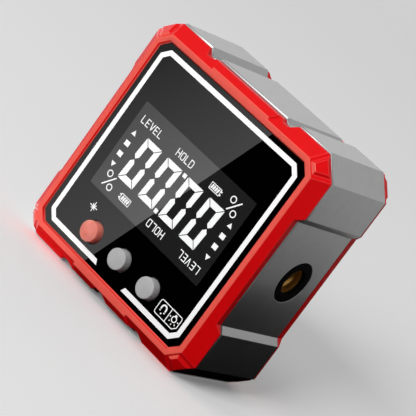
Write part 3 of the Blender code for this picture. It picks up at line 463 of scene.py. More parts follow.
# %% Bezel pieces
for node, outer in (("front_bezel", -1), ("rear_bezel", 1)):
    bezel_low, bezel_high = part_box(node)
    face_y = (bezel_low.y if outer < 0 else bezel_high.y) / MM

    def is_outer(edge):
        """True for an edge on the outer side of the bezel, above the frame's rim."""
        heights = [(face_y - corner.co.y) * outer for corner in edge.verts]
        return max(heights) < BEZEL_PROUD_MM and max(reach_of(corner) for corner in edge.verts) > RING_REACH_MM

    shape, count = with_broken_edges(
        node, BEZEL_EDGE_MM, is_outer, lambda copy: shape_the_lip(copy, face_y, outer), edge_slot=2
    )
    # The rim, the lip and the rounds next to the rim take the satin slot, whose paler colour is a painted
    # sheen.
    for face in shape.faces:
        depth = (face_y - face.calc_center_median().y) * outer
        facing = abs(face.normal.y) > FACING_LEVEL
        near_rim = depth < BEZEL_EDGE_MM + RIM_MARGIN_MM
        if (facing and depth < LIP_DROP_MM + LIP_MARGIN_MM) or (near_rim and face.material_index == 2):
            face.material_index = 1
    replace_node(node, shape, [RED_ABS, RIM_ABS_PAINTED_SHEEN, EDGE_ABS], "housing")
    print(node, "edges broken", count)

# %% [markdown]
# ## Lens, rear panel and door
# The lens is a flat plate whose edges sit in the bezel's pocket, so the model's solid is right as it is
# and only needs its finish. The rear panel and the door show their edges, so they get broken ones.

# %% Lens and rear pieces
REAR_EDGE_MM = 0.15
give_finish("front_lens", BLACK_ACRYLIC)
for node, body in (("rear_panel", "housing"), ("battery_door", "door")):
    shape, count = with_broken_edges(node, REAR_EDGE_MM)
    replace_node(node, shape, [BLACK_ABS], body)
    print(node, "edges broken", count)

# %% [markdown]
# ## Turned pieces
# The buttons, the collar and the thread insert are round. Each is drawn as half a section, a chain of
# points from the axis out and back, and spun about it. The corners of the chain are rounded before the
# spin, so the finished piece has real radii. A cylinder with bevels could do the same for a button,
# but not for the collar's undercut.

# %% Spin helper
ROUND_STEPS = 96
SEAM_MM = 0.0005


def everything(shape):
    """All corners, edges and faces of a shape."""
    return shape.verts[:] + shape.edges[:] + shape.faces[:]


def bevel_corners(shape, corners, offset, segments):
    """Cut or round corners of a chain of points or of a flat face."""
    bmesh.ops.bevel(
        shape, geom=corners, offset=offset, offset_type="OFFSET", segments=segments, profile=0.5,
        affect="VERTICES", clamp_overlap=True, material=-1,
    )


def spun(profile, rounds):
    """Spin a chain of (radius, height) points about Z. Rounds gives a radius for some corners."""
    shape = bmesh.new()
    corners = [shape.verts.new((radius, 0.0, height)) for radius, height in profile]
    for near, far in zip(corners, corners[1:]):
        shape.edges.new((near, far))
    for index, radius in rounds.items():
        bevel_corners(shape, [corners[index]], radius, segments=4)
    bmesh.ops.spin(
        shape, geom=everything(shape), cent=(0, 0, 0), axis=(0, 0, 1),
        angle=2 * math.pi, steps=ROUND_STEPS, use_merge=True,
    )
    bmesh.ops.remove_doubles(shape, verts=shape.verts[:], dist=SEAM_MM)
    return shape

# %% [markdown]
# ## Buttons
# Three silicone rubber caps come up through holes in the lens. Each has a soft edge of a quarter of a
# millimetre, and a flange and a stem behind the lens that press the keypad. On the real panel no image
# of the caps shows in the gloss beside them, so they are hidden from reflections.

# %% Button pieces
BUTTON_RADIUS = 2.5
FLANGE_RADIUS = 3.2
STEM_RADIUS = 1.5
CAP_HEIGHT = 3.3
FLANGE_HEIGHT = 0.7
STEM_HEIGHT = 0.8
CAP_ROUND = 0.28
FLANGE_ROUND = 0.1
TOWARDS_FRONT = Matrix.Rotation(math.radians(90.0), 4, "X")
for node, body, finish, slot in (
    ("power_button", "power_key", RED_SILICONE, "red_rubber"),
    ("hold_button", "hold_key", GREY_SILICONE, "grey_rubber"),
    ("zero_button", "zero_key", GREY_SILICONE, "grey_rubber"),
):
    low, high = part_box(node)
    flange = -CAP_HEIGHT
    stem = flange - FLANGE_HEIGHT
    end = stem - STEM_HEIGHT
    profile = [
        (0.0, 0.0),
        (BUTTON_RADIUS, 0.0),
        (BUTTON_RADIUS, flange),
        (FLANGE_RADIUS, flange),
        (FLANGE_RADIUS, stem),
        (STEM_RADIUS, stem),
        (STEM_RADIUS, end),
        (0.0, end),
    ]
    shape = spun(profile, {1: CAP_ROUND, 3: FLANGE_ROUND, 6: FLANGE_ROUND})
    place = Vector(((low.x + high.x) / 2, low.y, (low.z + high.z) / 2))
    cap = finish_piece(
        node + "_cap", shape, [finish], body, Matrix.Translation(place) @ TOWARDS_FRONT, 40.0
    )
    cap.visible_glossy = False
    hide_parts(node)
    print(node, "cap", round((high.y - low.y) / MM, 2), "mm long")

# %% [markdown]
# ## Tripod collar and threaded insert
# A black nylon collar fills the hole in the right side. Behind its thick face a brass insert begins, with
# a quarter inch thread of 20 turns to the inch, so a pitch of 1.27 mm. A thread can be cut with a screw
# modifier or drawn as rings. Here a short ridge is spun and moved along the axis at the same time,
# which makes a true helix. The insert's neck fills the collar's mouth up to that face.

# %% Collar piece
collar_low, collar_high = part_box("tripod_collar")
THREAD_MIDDLE = Vector((collar_high.x, (collar_low.y + collar_high.y) / 2, (collar_low.z + collar_high.z) / 2))
TOWARDS_RIGHT = Matrix.Translation(THREAD_MIDDLE) @ Matrix.Rotation(math.radians(90.0), 4, "Y")
COLLAR_RADIUS = 5.3
COLLAR_FLANGE_RADIUS = 6.6
FACE_HOLE_RADIUS = 3.3
FACE_HOLE_DEPTH = 0.9
MOUTH_RADIUS = 3.85
SEAT_RADIUS = 4.35
LIP_DEPTH = 1.6
FLANGE_FROM = -2.9
FLANGE_TO = -4.1
COLLAR_BACK = 0.9
COLLAR_ROUND = 0.15
collar_length = (collar_high.x - collar_low.x) / MM
shape = spun(
    [
        (0.0, -collar_length),
        (COLLAR_RADIUS, -collar_length),
        (COLLAR_RADIUS, FLANGE_TO),
        (COLLAR_FLANGE_RADIUS, FLANGE_TO),
        (COLLAR_FLANGE_RADIUS, FLANGE_FROM),
        (COLLAR_RADIUS, FLANGE_FROM),
        (COLLAR_RADIUS, 0.0),
        (FACE_HOLE_RADIUS, 0.0),
        (FACE_HOLE_RADIUS, -FACE_HOLE_DEPTH),
        (MOUTH_RADIUS, -FACE_HOLE_DEPTH),
        (MOUTH_RADIUS, -LIP_DEPTH),
        (SEAT_RADIUS, -LIP_DEPTH),
        (SEAT_RADIUS, COLLAR_BACK - collar_length),
        (0.0, COLLAR_BACK - collar_length),
    ],
    {6: COLLAR_ROUND, 7: COLLAR_ROUND},
)
collar = finish_piece(
    "tripod_collar_finished", shape, [BLACK_NYLON], "housing", TOWARDS_RIGHT, 40.0
)
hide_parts("tripod_collar")
print("collar length", round(collar_length, 2), "mm")

# %% Thread insert piece
INSERT_RADIUS = 4.25
THREAD_MAJOR_RADIUS = 3.175
THREAD_MINOR_RADIUS = 2.58
THREAD_PITCH = 1.27
THREAD_STEPS = 48
CREST_HALF = 0.1
ROOT_GAP_HALF = 0.06
ROOT_SUNK = 0.05
NECK_RADIUS = 3.75
NECK_END = -1.0
NECK_ROUND = 0.15
INSERT_ROUND = 0.2
insert_low, insert_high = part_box("thread_insert")
mouth = (insert_high.x - collar_high.x) / MM
back = (insert_low.x - collar_high.x) / MM
shape = spun(
    [
        (THREAD_MAJOR_RADIUS, NECK_END),
        (NECK_RADIUS, NECK_END),
        (NECK_RADIUS, mouth),
        (INSERT_RADIUS, mouth),
        (INSERT_RADIUS, back),
        (THREAD_MAJOR_RADIUS, back),
        (THREAD_MAJOR_RADIUS, NECK_END),
    ],
    {1: NECK_ROUND, 3: INSERT_ROUND, 4: INSERT_ROUND},
)
turns = int((NECK_END - back) / THREAD_PITCH) - 1
start = back + (NECK_END - back - turns * THREAD_PITCH) / 2
ridge_half = THREAD_PITCH / 2 - ROOT_GAP_HALF
root_radius = THREAD_MAJOR_RADIUS + ROOT_SUNK
ridge = bmesh.new()
section = [
    (root_radius, start - ridge_half),
    (THREAD_MINOR_RADIUS, start - CREST_HALF),
    (THREAD_MINOR_RADIUS, start + CREST_HALF),
    (root_radius, start + ridge_half),
]
ridge.faces.new([ridge.verts.new((radius, 0.0, height)) for radius, height in section])
bmesh.ops.spin(
    ridge, geom=everything(ridge), cent=(0, 0, 0), axis=(0, 0, 1),
    dvec=(0, 0, THREAD_PITCH / THREAD_STEPS), angle=2 * math.pi * turns, steps=THREAD_STEPS * turns,
)
insert = finish_piece("thread_insert_turned", shape, [BRASS], "housing", TOWARDS_RIGHT, 40.0)
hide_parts("thread_insert")
finish_piece("thread_ridge", ridge, [BRASS], "housing", TOWARDS_RIGHT, 40.0)
print("thread turns", turns, "at a pitch of", THREAD_PITCH, "mm")

# %% [markdown]
# ## Screws
# The four screws behind are black zinc plated. Their heads and cross slots are already right in the
# model, so they get a metal that is dark, a little rough and worn bright nowhere.

# %% Screw finish
BLACK_ZINC = grained("black_zinc_steel", "#3A3B3D", 0.35, 0.2, 0.002, metallic=1.0, mottle=0.1, spread=0.06)
for number in range(1, 5):
    give_finish("screw_" + str(number), BLACK_ZINC)
print("screws finished with", BLACK_ZINC.name)

# %% [markdown]
# ## Drawing flat marks
# Every mark on the face is made of three simple things: a bar, a loop and a filled shape. They are
# drawn in a plane in millimetres, given the thickness of a film of ink, and laid on the lens. Text
# objects could make the words, but bars of one width match the strokes of a display better.

# %% Mark helpers
INK_THICKNESS = 0.02
WINDOW_THICKNESS = 0.015


def corners_among(items):
    """The corners in a mix of corners, edges and faces."""
    return [item for item in items if isinstance(item, bmesh.types.BMVert)]


def move(shape, corners, centre=(0.0, 0.0), scale=(1.0, 1.0), turn=0.0):
    """Scale, turn by degrees and move corners in the plane of the marks."""
    bmesh.ops.scale(shape, vec=(scale[0], scale[1], 1.0), verts=corners)
    bmesh.ops.rotate(shape, cent=(0, 0, 0), matrix=Matrix.Rotation(math.radians(turn), 3, "Z"), verts=corners)
    bmesh.ops.translate(shape, vec=(centre[0], centre[1], 0.0), verts=corners)


def slab(shape, centre, size, turn=0.0):
    """A filled rectangle. Returns its corners."""
    corners = bmesh.ops.create_grid(shape, x_segments=1, y_segments=1, size=0.5)["verts"]
    move(shape, corners, centre, size, turn)
    return corners


def bar(shape, start, end, width, overhang=0.0):
    """A straight stroke between two points, longer by the overhang at both ends."""
    run = Vector(end) - Vector(start)
    middle = (Vector(start) + Vector(end)) / 2
    turn = math.degrees(math.atan2(run.y, run.x))
    slab(shape, middle, (run.length + 2 * overhang, width), turn)


def disc(shape, centre, size, sides, turn=0.0):
    """A filled regular shape, scaled to a width and a height, then turned."""
    corners = bmesh.ops.create_circle(shape, cap_ends=True, segments=sides, radius=0.5)["verts"]
    move(shape, corners, centre, size, turn)
    return corners


def hollow(shape, corners, width):
    """Keep only a rim of one width round the inside of a filled shape."""
    face = next(face for face in corners[0].link_faces if all(corner in corners for corner in face.verts))
    bmesh.ops.inset_region(shape, faces=[face], thickness=width, use_boundary=True, use_even_offset=True)
    bmesh.ops.delete(shape, geom=[face], context="FACES_ONLY")


def cut_corners(shape, corners, offset, segments=1):
    """Cut or round chosen corners of one flat face. Returns all corners of that face."""
    others = set(shape.faces) - set(corners[0].link_faces)
    bevel_corners(shape, list(corners), offset, segments)
    changed = next(face for face in shape.faces if face not in others)
    return list(changed.verts)


def lay_on_lens(name, shape, finish, thickness, lift=0.0):
    """Give flat marks a thickness and lay them on the lens, lifted in mm."""
    bmesh.ops.recalc_face_normals(shape, faces=shape.faces[:])
    for face in shape.faces:
        if face.normal.z < 0:
            face.normal_flip()
    raised = bmesh.ops.extrude_face_region(shape, geom=shape.faces[:], use_keep_orig=True)["geom"]
    bmesh.ops.translate(shape, vec=(0, 0, thickness), verts=corners_among(raised))
    place = Vector((FACE_MIDDLE.x, LENS_FRONT_Y - lift * MM, FACE_MIDDLE.z))
    finish_piece(name, shape, [finish], "housing", Matrix.Translation(place) @ TOWARDS_FRONT)

# %% [markdown]
# ## The white border
# A line 1.2 mm wide follows the lens, with a gap at the lower side in front of the middle button. It is a
# rectangle with its corners cut, hollowed to a rim. Two slanting cuts then open the gap.

# %% Border
BORDER_SIZE = (47.4, 47.74)
BORDER_CORNER = 2.1
BORDER_WIDTH = 1.2
GAP_LEFT = ((-4.63, -23.87), (-5.35, -22.67))
GAP_RIGHT = ((4.55, -23.87), (5.15, -22.67))
GAP_BELOW = -20.0
border = bmesh.new()
corners = cut_corners(border, slab(border, (0.0, 0.0), BORDER_SIZE), BORDER_CORNER)
hollow(border, corners, BORDER_WIDTH)
for start, end in (GAP_LEFT, GAP_RIGHT):
    along = Vector((*end, 0.0)) - Vector((*start, 0.0))
    across = along.cross(Vector((0, 0, 1)))
    bmesh.ops.bisect_plane(
        border, geom=everything(border), plane_co=(*start, 0.0), plane_no=across.normalized()
    )
gap = []
for face in border.faces:
    middle = face.calc_center_median()
    if middle.y < GAP_BELOW and GAP_LEFT[0][0] < middle.x < GAP_RIGHT[0][0]:
        gap.append(face)
bmesh.ops.delete(border, geom=gap, context="FACES")
lay_on_lens("panel_border", border, WHITE_INK_PAINTED_GLOW, INK_THICKNESS)
print("border", BORDER_SIZE, "mm, line", BORDER_WIDTH, "mm")

# %% [markdown]
# ## The display window
# The polariser of the display shows as a rectangle a shade paler than the lens.

# %% Window
WINDOW_SIZE = (38.8, 22.5)
WINDOW_MIDDLE = (0.27, 0.33)
WINDOW_CORNER = 0.4
window = bmesh.new()
cut_corners(window, slab(window, WINDOW_MIDDLE, WINDOW_SIZE), WINDOW_CORNER, segments=4)
lay_on_lens("display_window", window, POLARISER, WINDOW_THICKNESS)
print("window", WINDOW_SIZE, "mm")

# %% [markdown]
# ## The digits
# The display shows four noughts of six segments. One is drawn and then copied. A tall rectangle is
# hollowed, which mitres its four corners by itself. Two crossing cuts part each upright at its middle,
# and taking out the two side pieces leaves the ends pointed, where a middle segment would fit between
# them. Shrinking every segment by the same amount gives even gaps, and a shear gives the lean.

# %% Digits
DIGIT_SIZE = (5.5, 11.4)
DIGIT_STROKE = 1.7
DIGIT_LEAN = 0.066
SEGMENT_GAP = 0.1
POINT_LENGTH = 0.85
OFFCUT_REACH = 0.1
DIGIT_MIDDLES = (-10.88, -3.51, 3.92, 11.33)
DIGIT_RISE = -0.05
DOT_SIZE = (1.05, 1.0)
DOT_MIDDLES = ((0.61, 5.06), (-0.15, -5.18))
digits = bmesh.new()
hollow(digits, slab(digits, (0.0, 0.0), DIGIT_SIZE), DIGIT_STROKE)
for side in (-1, 1):
    x = side * (DIGIT_SIZE[0] - DIGIT_STROKE) / 2
    for slope in (-1, 1):
        upright = [face for face in digits.faces if abs(face.calc_center_median().x - x) < DIGIT_STROKE / 2]
        around = {edge for face in upright for edge in face.edges}
        corners = {corner for face in upright for corner in face.verts}
        bmesh.ops.bisect_plane(
            digits, geom=upright + list(around) + list(corners), plane_co=(x, 0, 0),
            plane_no=(POINT_LENGTH, slope * DIGIT_STROKE / 2, 0),
        )
offcuts = [face for face in digits.faces if abs(face.calc_center_median().y) < OFFCUT_REACH]
bmesh.ops.delete(digits, geom=offcuts, context="FACES")
rims = bmesh.ops.inset_individual(digits, faces=digits.faces[:], thickness=SEGMENT_GAP, use_even_offset=True)
bmesh.ops.delete(digits, geom=rims["faces"], context="FACES")
lean = Matrix(((1, DIGIT_LEAN, 0, 0), (0, 1, 0, 0), (0, 0, 1, 0), (0, 0, 0, 1)))
bmesh.ops.transform(digits, matrix=lean, verts=digits.verts[:])
first = everything(digits)
for middle in DIGIT_MIDDLES[1:]:
    copied = bmesh.ops.duplicate(digits, geom=first)["geom"]
    move(digits, corners_among(copied), (middle, DIGIT_RISE))
move(digits, corners_among(first), (DIGIT_MIDDLES[0], DIGIT_RISE))
for centre in DOT_MIDDLES:
    slab(digits, centre, DOT_SIZE)
print("segments and dots", len(digits.faces))
lay_on_lens("display_digits", digits, LIT_SEGMENT, INK_THICKNESS, WINDOW_THICKNESS)

# %% [markdown]
# ## The words
# The display says that it holds a reading, and that it is level, once for each way up. The letters are
# narrow and drawn with one width of stroke. O and D are rounded loops, the others are bars. The second
# pair of words is the first one turned by half a turn.

# %% Words
LETTER_SIZE = (1.2, 1.87)
LETTER_STEP = 1.46
LETTER_STROKE = 0.22
LETTER_ROUND = 0.45


def letter(shape, kind, left, base):
    """One capital, with its lower left corner at (left, base)."""
    width = LETTER_SIZE[0] - LETTER_STROKE
    height = LETTER_SIZE[1] - LETTER_STROKE
    half = LETTER_STROKE / 2
    x0 = left + half
    x1 = x0 + width
    y0 = base + half
    y1 = y0 + height
    waist = (y0 + y1) / 2
    if kind in "LEH":
        bar(shape, (x0, y0), (x0, y1), LETTER_STROKE, half)
    if kind == "H":
        bar(shape, (x1, y0), (x1, y1), LETTER_STROKE, half)
        bar(shape, (x0 + half, waist), (x1 - half, waist), LETTER_STROKE)
    if kind in "LE":
        bar(shape, (x0 + half, y0), (x1, y0), LETTER_STROKE)
    if kind == "E":
        bar(shape, (x0 + half, waist), (x1 - half, waist), LETTER_STROKE)
        bar(shape, (x0 + half, y1), (x1, y1), LETTER_STROKE)
    if kind == "V":
        low = ((x0 + x1) / 2, y0)
        bar(shape, (x0, y1 + half), low, LETTER_STROKE)
        bar(shape, (x1, y1 + half), low, LETTER_STROKE)
    if kind in "OD":
        corners = slab(shape, (left + LETTER_SIZE[0] / 2, base + LETTER_SIZE[1] / 2), LETTER_SIZE)
        rounded = corners if kind == "O" else [corner for corner in corners if corner.co.x > left + width / 2]
        hollow(shape, cut_corners(shape, rounded, LETTER_ROUND, segments=4), LETTER_STROKE)


def word(shape, text, left, base):
    """A word whose first letter has its lower left corner at (left, base)."""
    for index, kind in enumerate(text):
        letter(shape, kind, left + index * LETTER_STEP, base)


words = bmesh.new()
word(words, "LEVEL", -17.36, 7.05)
word(words, "HOLD", -4.72, 7.05)
turned_words = bmesh.new()
word(turned_words, "HOLD", -5.26, 7.28)
word(turned_words, "LEVEL", -17.88, 7.28)
turned_words.transform(Matrix.Rotation(math.radians(180.0), 4, "Z"))
for name, drawn in (("display_words", words), ("display_words_turned", turned_words)):
    print(name, "strokes", len(drawn.faces))
    lay_on_lens(name, drawn, LIT_SEGMENT, INK_THICKNESS, WINDOW_THICKNESS)

# %% [markdown]
# ## The small display signs
# Arrows and squares at both ends show which way to tip the gauge, a percent sign gives the unit for
# slopes, and a battery shows its charge. Each is a few bars, loops and filled shapes.

# %% Display signs
ARROW_SIZE = (1.65, 1.6)
SQUARE_SIZE = (1.45, 1.25)
LEFT_COLUMN = (-16.88, 4.05, 1.33, -1.5, -4.2)
RIGHT_COLUMN = (17.48, 3.9, 1.14, -1.68, -4.45)
PERCENT_RADIUS = 0.86
PERCENT_STROKE = 0.25
PERCENT_BAR = 0.31
BATTERY_SIZE = (3.35, 1.72)
BATTERY_LINE = 0.17
NUB_SIZE = (0.4, 0.34)
NUB_RISE = 0.4
CHARGE_BARS = 4
CHARGE_START = -0.98
CHARGE_STEP = 0.64
CHARGE_WIDTH = 0.46
CHARGE_HALF = Vector((0.12, 0.52))
signs = bmesh.new()
for x, arrow_up, upper, lower, arrow_down in (LEFT_COLUMN, RIGHT_COLUMN):
    disc(signs, (x, arrow_up), ARROW_SIZE, 3, 0.0)
    disc(signs, (x, arrow_down), ARROW_SIZE, 3, 180.0)
    slab(signs, (x, upper), SQUARE_SIZE)
    slab(signs, (x, lower), SQUARE_SIZE)


def percent(shape, upper, lower, start, end):
    """Two small rings either side of a slanting bar."""
    for centre in (upper, lower):
        ring = disc(shape, centre, (2 * PERCENT_RADIUS, 2 * PERCENT_RADIUS), 24)
        hollow(shape, ring, PERCENT_STROKE)
    bar(shape, start, end, PERCENT_BAR)


percent(signs, (14.33, 8.75), (16.3, 6.28), (14.14, 6.11), (16.78, 9.39))
percent(signs, (-15.86, -6.36), (-13.94, -8.86), (-16.28, -9.44), (-13.69, -6.17))


def battery_sign(shape, middle, way):
    """A battery outline with four bars of charge. Way is 1, or -1 for its half turn."""
    hollow(shape, slab(shape, middle, BATTERY_SIZE), BATTERY_LINE)
    for side in (-1, 1):
        x = middle[0] + way * (BATTERY_SIZE[0] + NUB_SIZE[0]) / 2
        slab(shape, (x, middle[1] + side * NUB_RISE), NUB_SIZE)
    for step in range(CHARGE_BARS):
        centre = Vector((middle[0] + way * (CHARGE_START + CHARGE_STEP * step), middle[1]))
        bar(shape, centre - CHARGE_HALF, centre + CHARGE_HALF, CHARGE_WIDTH)


battery_sign(signs, (8.95, 7.7), 1)
battery_sign(signs, (-8.45, -8.42), -1)
print("sign faces", len(signs.faces))
lay_on_lens("display_signs", signs, LIT_SEGMENT, INK_THICKNESS, WINDOW_THICKNESS)

# %% [markdown]
# ## The printed signs beside the buttons
# An eight pointed star marks the power button, with four long rays and four short ones. A box with a cut
# corner holds a magnet and a lamp: the gauge has magnets in its sides and a lit display. They are ink on
# the lens, like the border.

# %% Star
STAR = Vector((-14.32, -14.61, 0.0))
STAR_REACHES = (1.25, 0.82)
RAY_HALF = 0.09
STAR_WAIST = 0.3
prints = bmesh.new()
outline = []
half_step = Matrix.Rotation(math.radians(22.5), 3, "Z")
for number in range(8):
    turn = Matrix.Rotation(math.radians(45.0 * number), 3, "Z")
    reach = STAR_REACHES[number % 2]
    outline += [turn @ Vector((reach, side * RAY_HALF, 0.0)) for side in (-1, 1)]
    outline.append(turn @ half_step @ Vector((STAR_WAIST, 0.0, 0.0)))
prints.faces.new([prints.verts.new(STAR + place) for place in outline])
print("star corners", len(outline))

# %% Box, magnet and lamp
BOX_MIDDLE = (18.2, -19.97)
BOX_SIZE = (7.4, 3.68)
BOX_LINE = 0.2
BOX_CUT = 1.0
BOX_ROUND = 0.55
DIVIDER = ((18.25, -18.3), (18.25, -21.65))
MAGNET = (16.4, -19.6)
MAGNET_WIDTH = 1.8
MAGNET_STROKE = 0.38
LEG_LENGTH = 0.55
POLE_SIZE = (0.42, 0.22)
POLE_DROP = 0.86
SPARK_DROP = 1.35
SPARK_WIDTH = 0.4
LAMP = Vector((20.05, -19.75))
BULB_WIDTH = 1.55
BULB_LINE = 0.25
CAP_SIZE = (0.62, 0.4)
CAP_RISE = 0.9
BEAM_REACH = (1.1, 1.45)
BEAM_LINE = 0.24
corners = slab(prints, BOX_MIDDLE, BOX_SIZE)
cut = [corner for corner in corners if corner.co.x > BOX_MIDDLE[0] and corner.co.y < BOX_MIDDLE[1]]
soft = [corner for corner in corners if corner not in cut]
cut_corners(prints, cut, BOX_CUT)
hollow(prints, cut_corners(prints, soft, BOX_ROUND, segments=3), BOX_LINE)
bar(prints, *DIVIDER, BOX_LINE)
hollow(prints, disc(prints, MAGNET, (MAGNET_WIDTH, MAGNET_WIDTH), 24), MAGNET_STROKE)
lower_arch = []
for face in prints.faces:
    middle = face.calc_center_median()
    if (middle - Vector((*MAGNET, 0.0))).length < MAGNET_WIDTH / 2 and middle.y < MAGNET[1]:
        lower_arch.append(face)
bmesh.ops.delete(prints, geom=lower_arch, context="FACES")
for side in (-1, 1):
    x = MAGNET[0] + side * (MAGNET_WIDTH - MAGNET_STROKE) / 2
    bar(prints, (x, MAGNET[1]), (x, MAGNET[1] - LEG_LENGTH), MAGNET_STROKE)
    slab(prints, (x, MAGNET[1] - POLE_DROP), POLE_SIZE)
disc(prints, (MAGNET[0], MAGNET[1] - SPARK_DROP), (SPARK_WIDTH, SPARK_WIDTH), 12)
hollow(prints, disc(prints, LAMP, (BULB_WIDTH, BULB_WIDTH), 24), BULB_LINE)
slab(prints, (LAMP.x, LAMP.y + CAP_RISE), CAP_SIZE)
for angle in (0, 180, 225, 270, 315):
    outwards = Vector((math.cos(math.radians(angle)), math.sin(math.radians(angle))))
    bar(prints, LAMP + outwards * BEAM_REACH[0], LAMP + outwards * BEAM_REACH[1], BEAM_LINE)
print("print faces", len(prints.faces))
lay_on_lens("panel_prints", prints, WHITE_INK_PAINTED_GLOW, INK_THICKNESS)

# %% [markdown]
# ## Floor and world
# The gauge stands on a plain pale floor of matt paper. The world is an even pale light. Past the floor's
# end it would look darker than the floor, so the camera, mirrors and glass see it at a second, paler
# level, and the floor gets a slight glow for them. Neither adds light to the gauge's matt surfaces.

# %% Floor and world
def level_when_seen(tree, level, seen_level):
    """One level for lighting, another for what the camera, gloss and glass see."""
    ray = add_node(tree, "ShaderNodeLightPath")
    seen = ray.outputs["Is Camera Ray"]
    for kind in ("Is Glossy Ray", "Is Transmission Ray"):
        either = add_node(tree, "ShaderNodeMath", {0: seen, 1: ray.outputs[kind]}, "MAXIMUM")
        seen = either.outputs["Value"]
    chosen = add_node(tree, "ShaderNodeMapRange", {"Value": seen, "To Min": level, "To Max": seen_level})
    return chosen.outputs["Result"]


def studio_object(name, shape, material):
    """A bmesh in metres becomes an object of the studio."""
    mesh = bpy.data.meshes.new(name)
    shape.to_mesh(mesh)
    shape.free()
    mesh.materials.append(material)
    made = bpy.data.objects.new(name, mesh)
    bpy.context.collection.objects.link(made)
    return made


FLOOR_SIZE = 12.0
FLOOR_COLOUR = "#FAFAFA"
FLOOR_GLOW = 0.1
floor_shape = bmesh.new()
bmesh.ops.create_grid(floor_shape, x_segments=1, y_segments=1, size=FLOOR_SIZE / 2)
FLOOR_PAPER, tree, shader = new_material("pale_floor_paper", FLOOR_COLOUR, 0.9, Specular_IOR_Level=0.0)
add_grain(tree, shader, 1.5, 0.02, FLOOR_COLOUR)
shader.inputs["Emission Color"].default_value = WHITE
tree.links.new(level_when_seen(tree, 0.0, FLOOR_GLOW), shader.inputs["Emission Strength"])
floor = studio_object("floor", floor_shape, FLOOR_PAPER)

WORLD_LEVEL = 0.28
SEEN_LEVEL = 0.44
world = bpy.data.worlds.new("pale_studio")
bpy.context.scene.world = world
world.use_nodes = True
background = world.node_tree.nodes["Background"]
background.inputs["Color"].default_value = WHITE
world.node_tree.links.new(
    level_when_seen(world.node_tree, WORLD_LEVEL, SEEN_LEVEL), background.inputs["Strength"]
)
print("world level", WORLD_LEVEL)

# %% [markdown]
# ## Lamps
# Large softboxes stand about two metres away, so that the light is even and the shadows are soft. The
# main one is in front and a little above. One overhead on the left lights the upper sides and makes the
# cut edge flash. Two behind, the stronger one on the left, give the blasted metal something bright to
# reflect.

# %% Lamps
def add_lamp(name, place, aim, size, watts):
    """A rectangular area lamp that faces a point. Places and sizes are in metres."""
    data = bpy.data.lights.new(name, "AREA")
    data.shape = "RECTANGLE"
    data.size = size[0]
    data.size_y = size[1]
    data.energy = watts
    lamp = bpy.data.objects.new(name, data)
    lamp.location = Vector(place)
    lamp.rotation_mode = "QUATERNION"
    lamp.rotation_quaternion = (Vector(aim) - Vector(place)).to_track_quat("-Z", "Y")
    lamp.visible_camera = False
    bpy.context.collection.objects.link(lamp)


add_lamp("front_softbox", (0.05, -1.83, 0.9), (0, 0, 0.03), (1.0, 0.9), 29.0)
add_lamp("overhead_softbox", (-0.97, -0.74, 1.45), (0, 0, 0.03), (0.8, 0.8), 3.0)
add_lamp("rear_softbox", (-0.85, 1.45, 0.75), (0, 0, 0.05), (1.3, 0.7), 2.3)
add_lamp("corner_softbox", (0.5, 1.46, 0.98), (0, 0, 0.05), (0.8, 0.6), 0.7)
print("lamps ready")

# %% [markdown]
# ## Cards
# Glossy black shows only what it reflects, so a photographer lays cards beside it. A pale card on the left
# and a black one on the right meet in one straight line, and the lens shows that line from the upper
# right to the lower left. A pale patch beside the gauge and a pale card far to its left brighten the
# left bezels. A black flag to its right and a black strip under it keep the metal dark low down. All of
# them shine or block on one side only, and the camera doesn't see them.

# %% Cards
CARD_HEIGHT = 0.6
LOW_CARD_HEIGHT = 0.8
CARD_LINE_START = Vector((-16.65, -27.4, CARD_HEIGHT))
CARD_LINE_WAY = Vector((-0.474, -0.880, 0.0)).normalized()
CARD_ACROSS = Vector((-CARD_LINE_WAY.y, CARD_LINE_WAY.x, 0.0))


def one_sided(name, colour, glow=None):
    """A card's material, seen from its front. Glow is a strength at the line, one away from it, and how far."""
    made, tree, shader = new_material(name, colour, 1.0, Specular_IOR_Level=0.0)
    clear = add_node(tree, "ShaderNodeBsdfTransparent")
    side = add_node(tree, "ShaderNodeNewGeometry")
    front = shader.outputs["BSDF"]
    if glow:
        near_strength, far_strength, reach = glow
        place = add_node(tree, "ShaderNodeTexCoord")
        away = add_node(
            tree, "ShaderNodeVectorMath", {0: place.outputs["Object"], 1: CARD_ACROSS}, "DOT_PRODUCT"
        )
        line = CARD_LINE_START.dot(CARD_ACROSS) * MM
        level = add_node(
            tree, "ShaderNodeMapRange",
            {
                "Value": away.outputs["Value"],
                "From Min": line,
                "From Max": line - reach * MM,
                "To Min": near_strength,
                "To Max": far_strength,
            },
        )
        light = add_node(
            tree, "ShaderNodeEmission", {"Color": srgb(colour), "Strength": level.outputs["Result"]}
        )
        front = light.outputs["Emission"]
    both = add_node(tree, "ShaderNodeMixShader", {0: side.outputs["Backfacing"]})
    tree.links.new(front, both.inputs[1])
    tree.links.new(clear.outputs["BSDF"], both.inputs[2])
    tree.links.new(both.outputs["Shader"], tree.nodes["Material Output"].inputs["Surface"])
    return made


def beside_line(first, last, across):
    """Corners of a card that lies just above the floor along the line, and reaches across from it."""
    places = ((first, 0.0), (last, 0.0), (last, across), (first, across))
    return [CARD_LINE_START + CARD_LINE_WAY * along + CARD_ACROSS * away for along, away in places]


def lying(x_low, x_high, y_low, y_high):
    """Corners of a card just above the floor, facing up."""
    places = ((x_low, y_low), (x_high, y_low), (x_high, y_high), (x_low, y_high))
    return [Vector((x, y, LOW_CARD_HEIGHT)) for x, y in places]


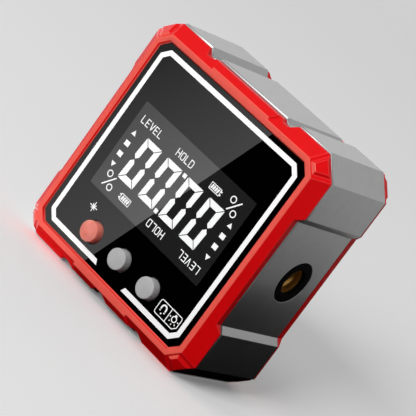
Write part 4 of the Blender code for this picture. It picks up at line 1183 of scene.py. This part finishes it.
def standing(x, y_first, y_last, z_low, z_high):
    """Corners of an upright card. It faces right where y grows and left where it falls."""
    places = ((y_first, z_low), (y_last, z_low), (y_last, z_high), (y_first, z_high))
    return [Vector((x, y, z)) for y, z in places]


def add_card(name, corners, material, seen_by_matt=False):
    """A flat card with its corners in mm. Its front is where they run anticlockwise."""
    shape = bmesh.new()
    shape.faces.new([shape.verts.new(corner * MM) for corner in corners])
    card = studio_object(name, shape, material)
    card.visible_camera = False
    card.visible_shadow = False
    card.visible_diffuse = seen_by_matt


PALE_CARD = one_sided("pale_card", "#FFFFFF", (1.35, 0.5, 50.0))
PALE_PATCH = one_sided("pale_patch", "#FFFFFF", (1.4, 1.4, 50.0))
PALE_SIDE = one_sided("pale_side", "#FFFFFF", (2.4, 2.4, 50.0))
BLACK_CARD = one_sided("black_card", "#030303")
add_card("pale_card", beside_line(420.0, -10.0, -260.0), PALE_CARD)
add_card("pale_patch", lying(-46.0, -26.0, -15.0, 15.0), PALE_PATCH)
add_card("pale_side_card", standing(-200.0, 30.0, 150.0, 40.0, 150.0), PALE_SIDE)
add_card("black_card", beside_line(-235.0, 420.0, 300.0), BLACK_CARD, seen_by_matt=True)
add_card("black_flag", standing(46.0, 110.0, -30.0, 0.0, 25.0), BLACK_CARD)
add_card("black_strip", lying(-26.0, 30.0, -15.2, 15.2), BLACK_CARD)
print("cards ready")

# %% [markdown]
# ## Camera
# The camera stands where the photographer stood, with a long lens, turned so that the gauge seems to
# balance on a corner. Its place and angles were found by fitting the corners of the gauge.

# %% Camera
CAMERA_PLACE_MM = (246.807, -391.379, 132.457)
CAMERA_DEGREES = (74.6151, -35.0814, 41.0859)
camera_data = bpy.data.cameras.new("camera")
camera_data.sensor_width = 36.0
camera_data.lens = 182.727
camera_data.clip_start = 0.01
camera = bpy.data.objects.new("camera", camera_data)
camera.location = Vector(CAMERA_PLACE_MM) * MM
camera.rotation_euler = Euler([math.radians(angle) for angle in CAMERA_DEGREES], "XYZ")
bpy.context.collection.objects.link(camera)
bpy.context.scene.camera = camera
bpy.context.scene.view_settings.view_transform = "Standard"
print("camera", round((camera.location - FACE_MIDDLE).length / MM), "mm from the face")
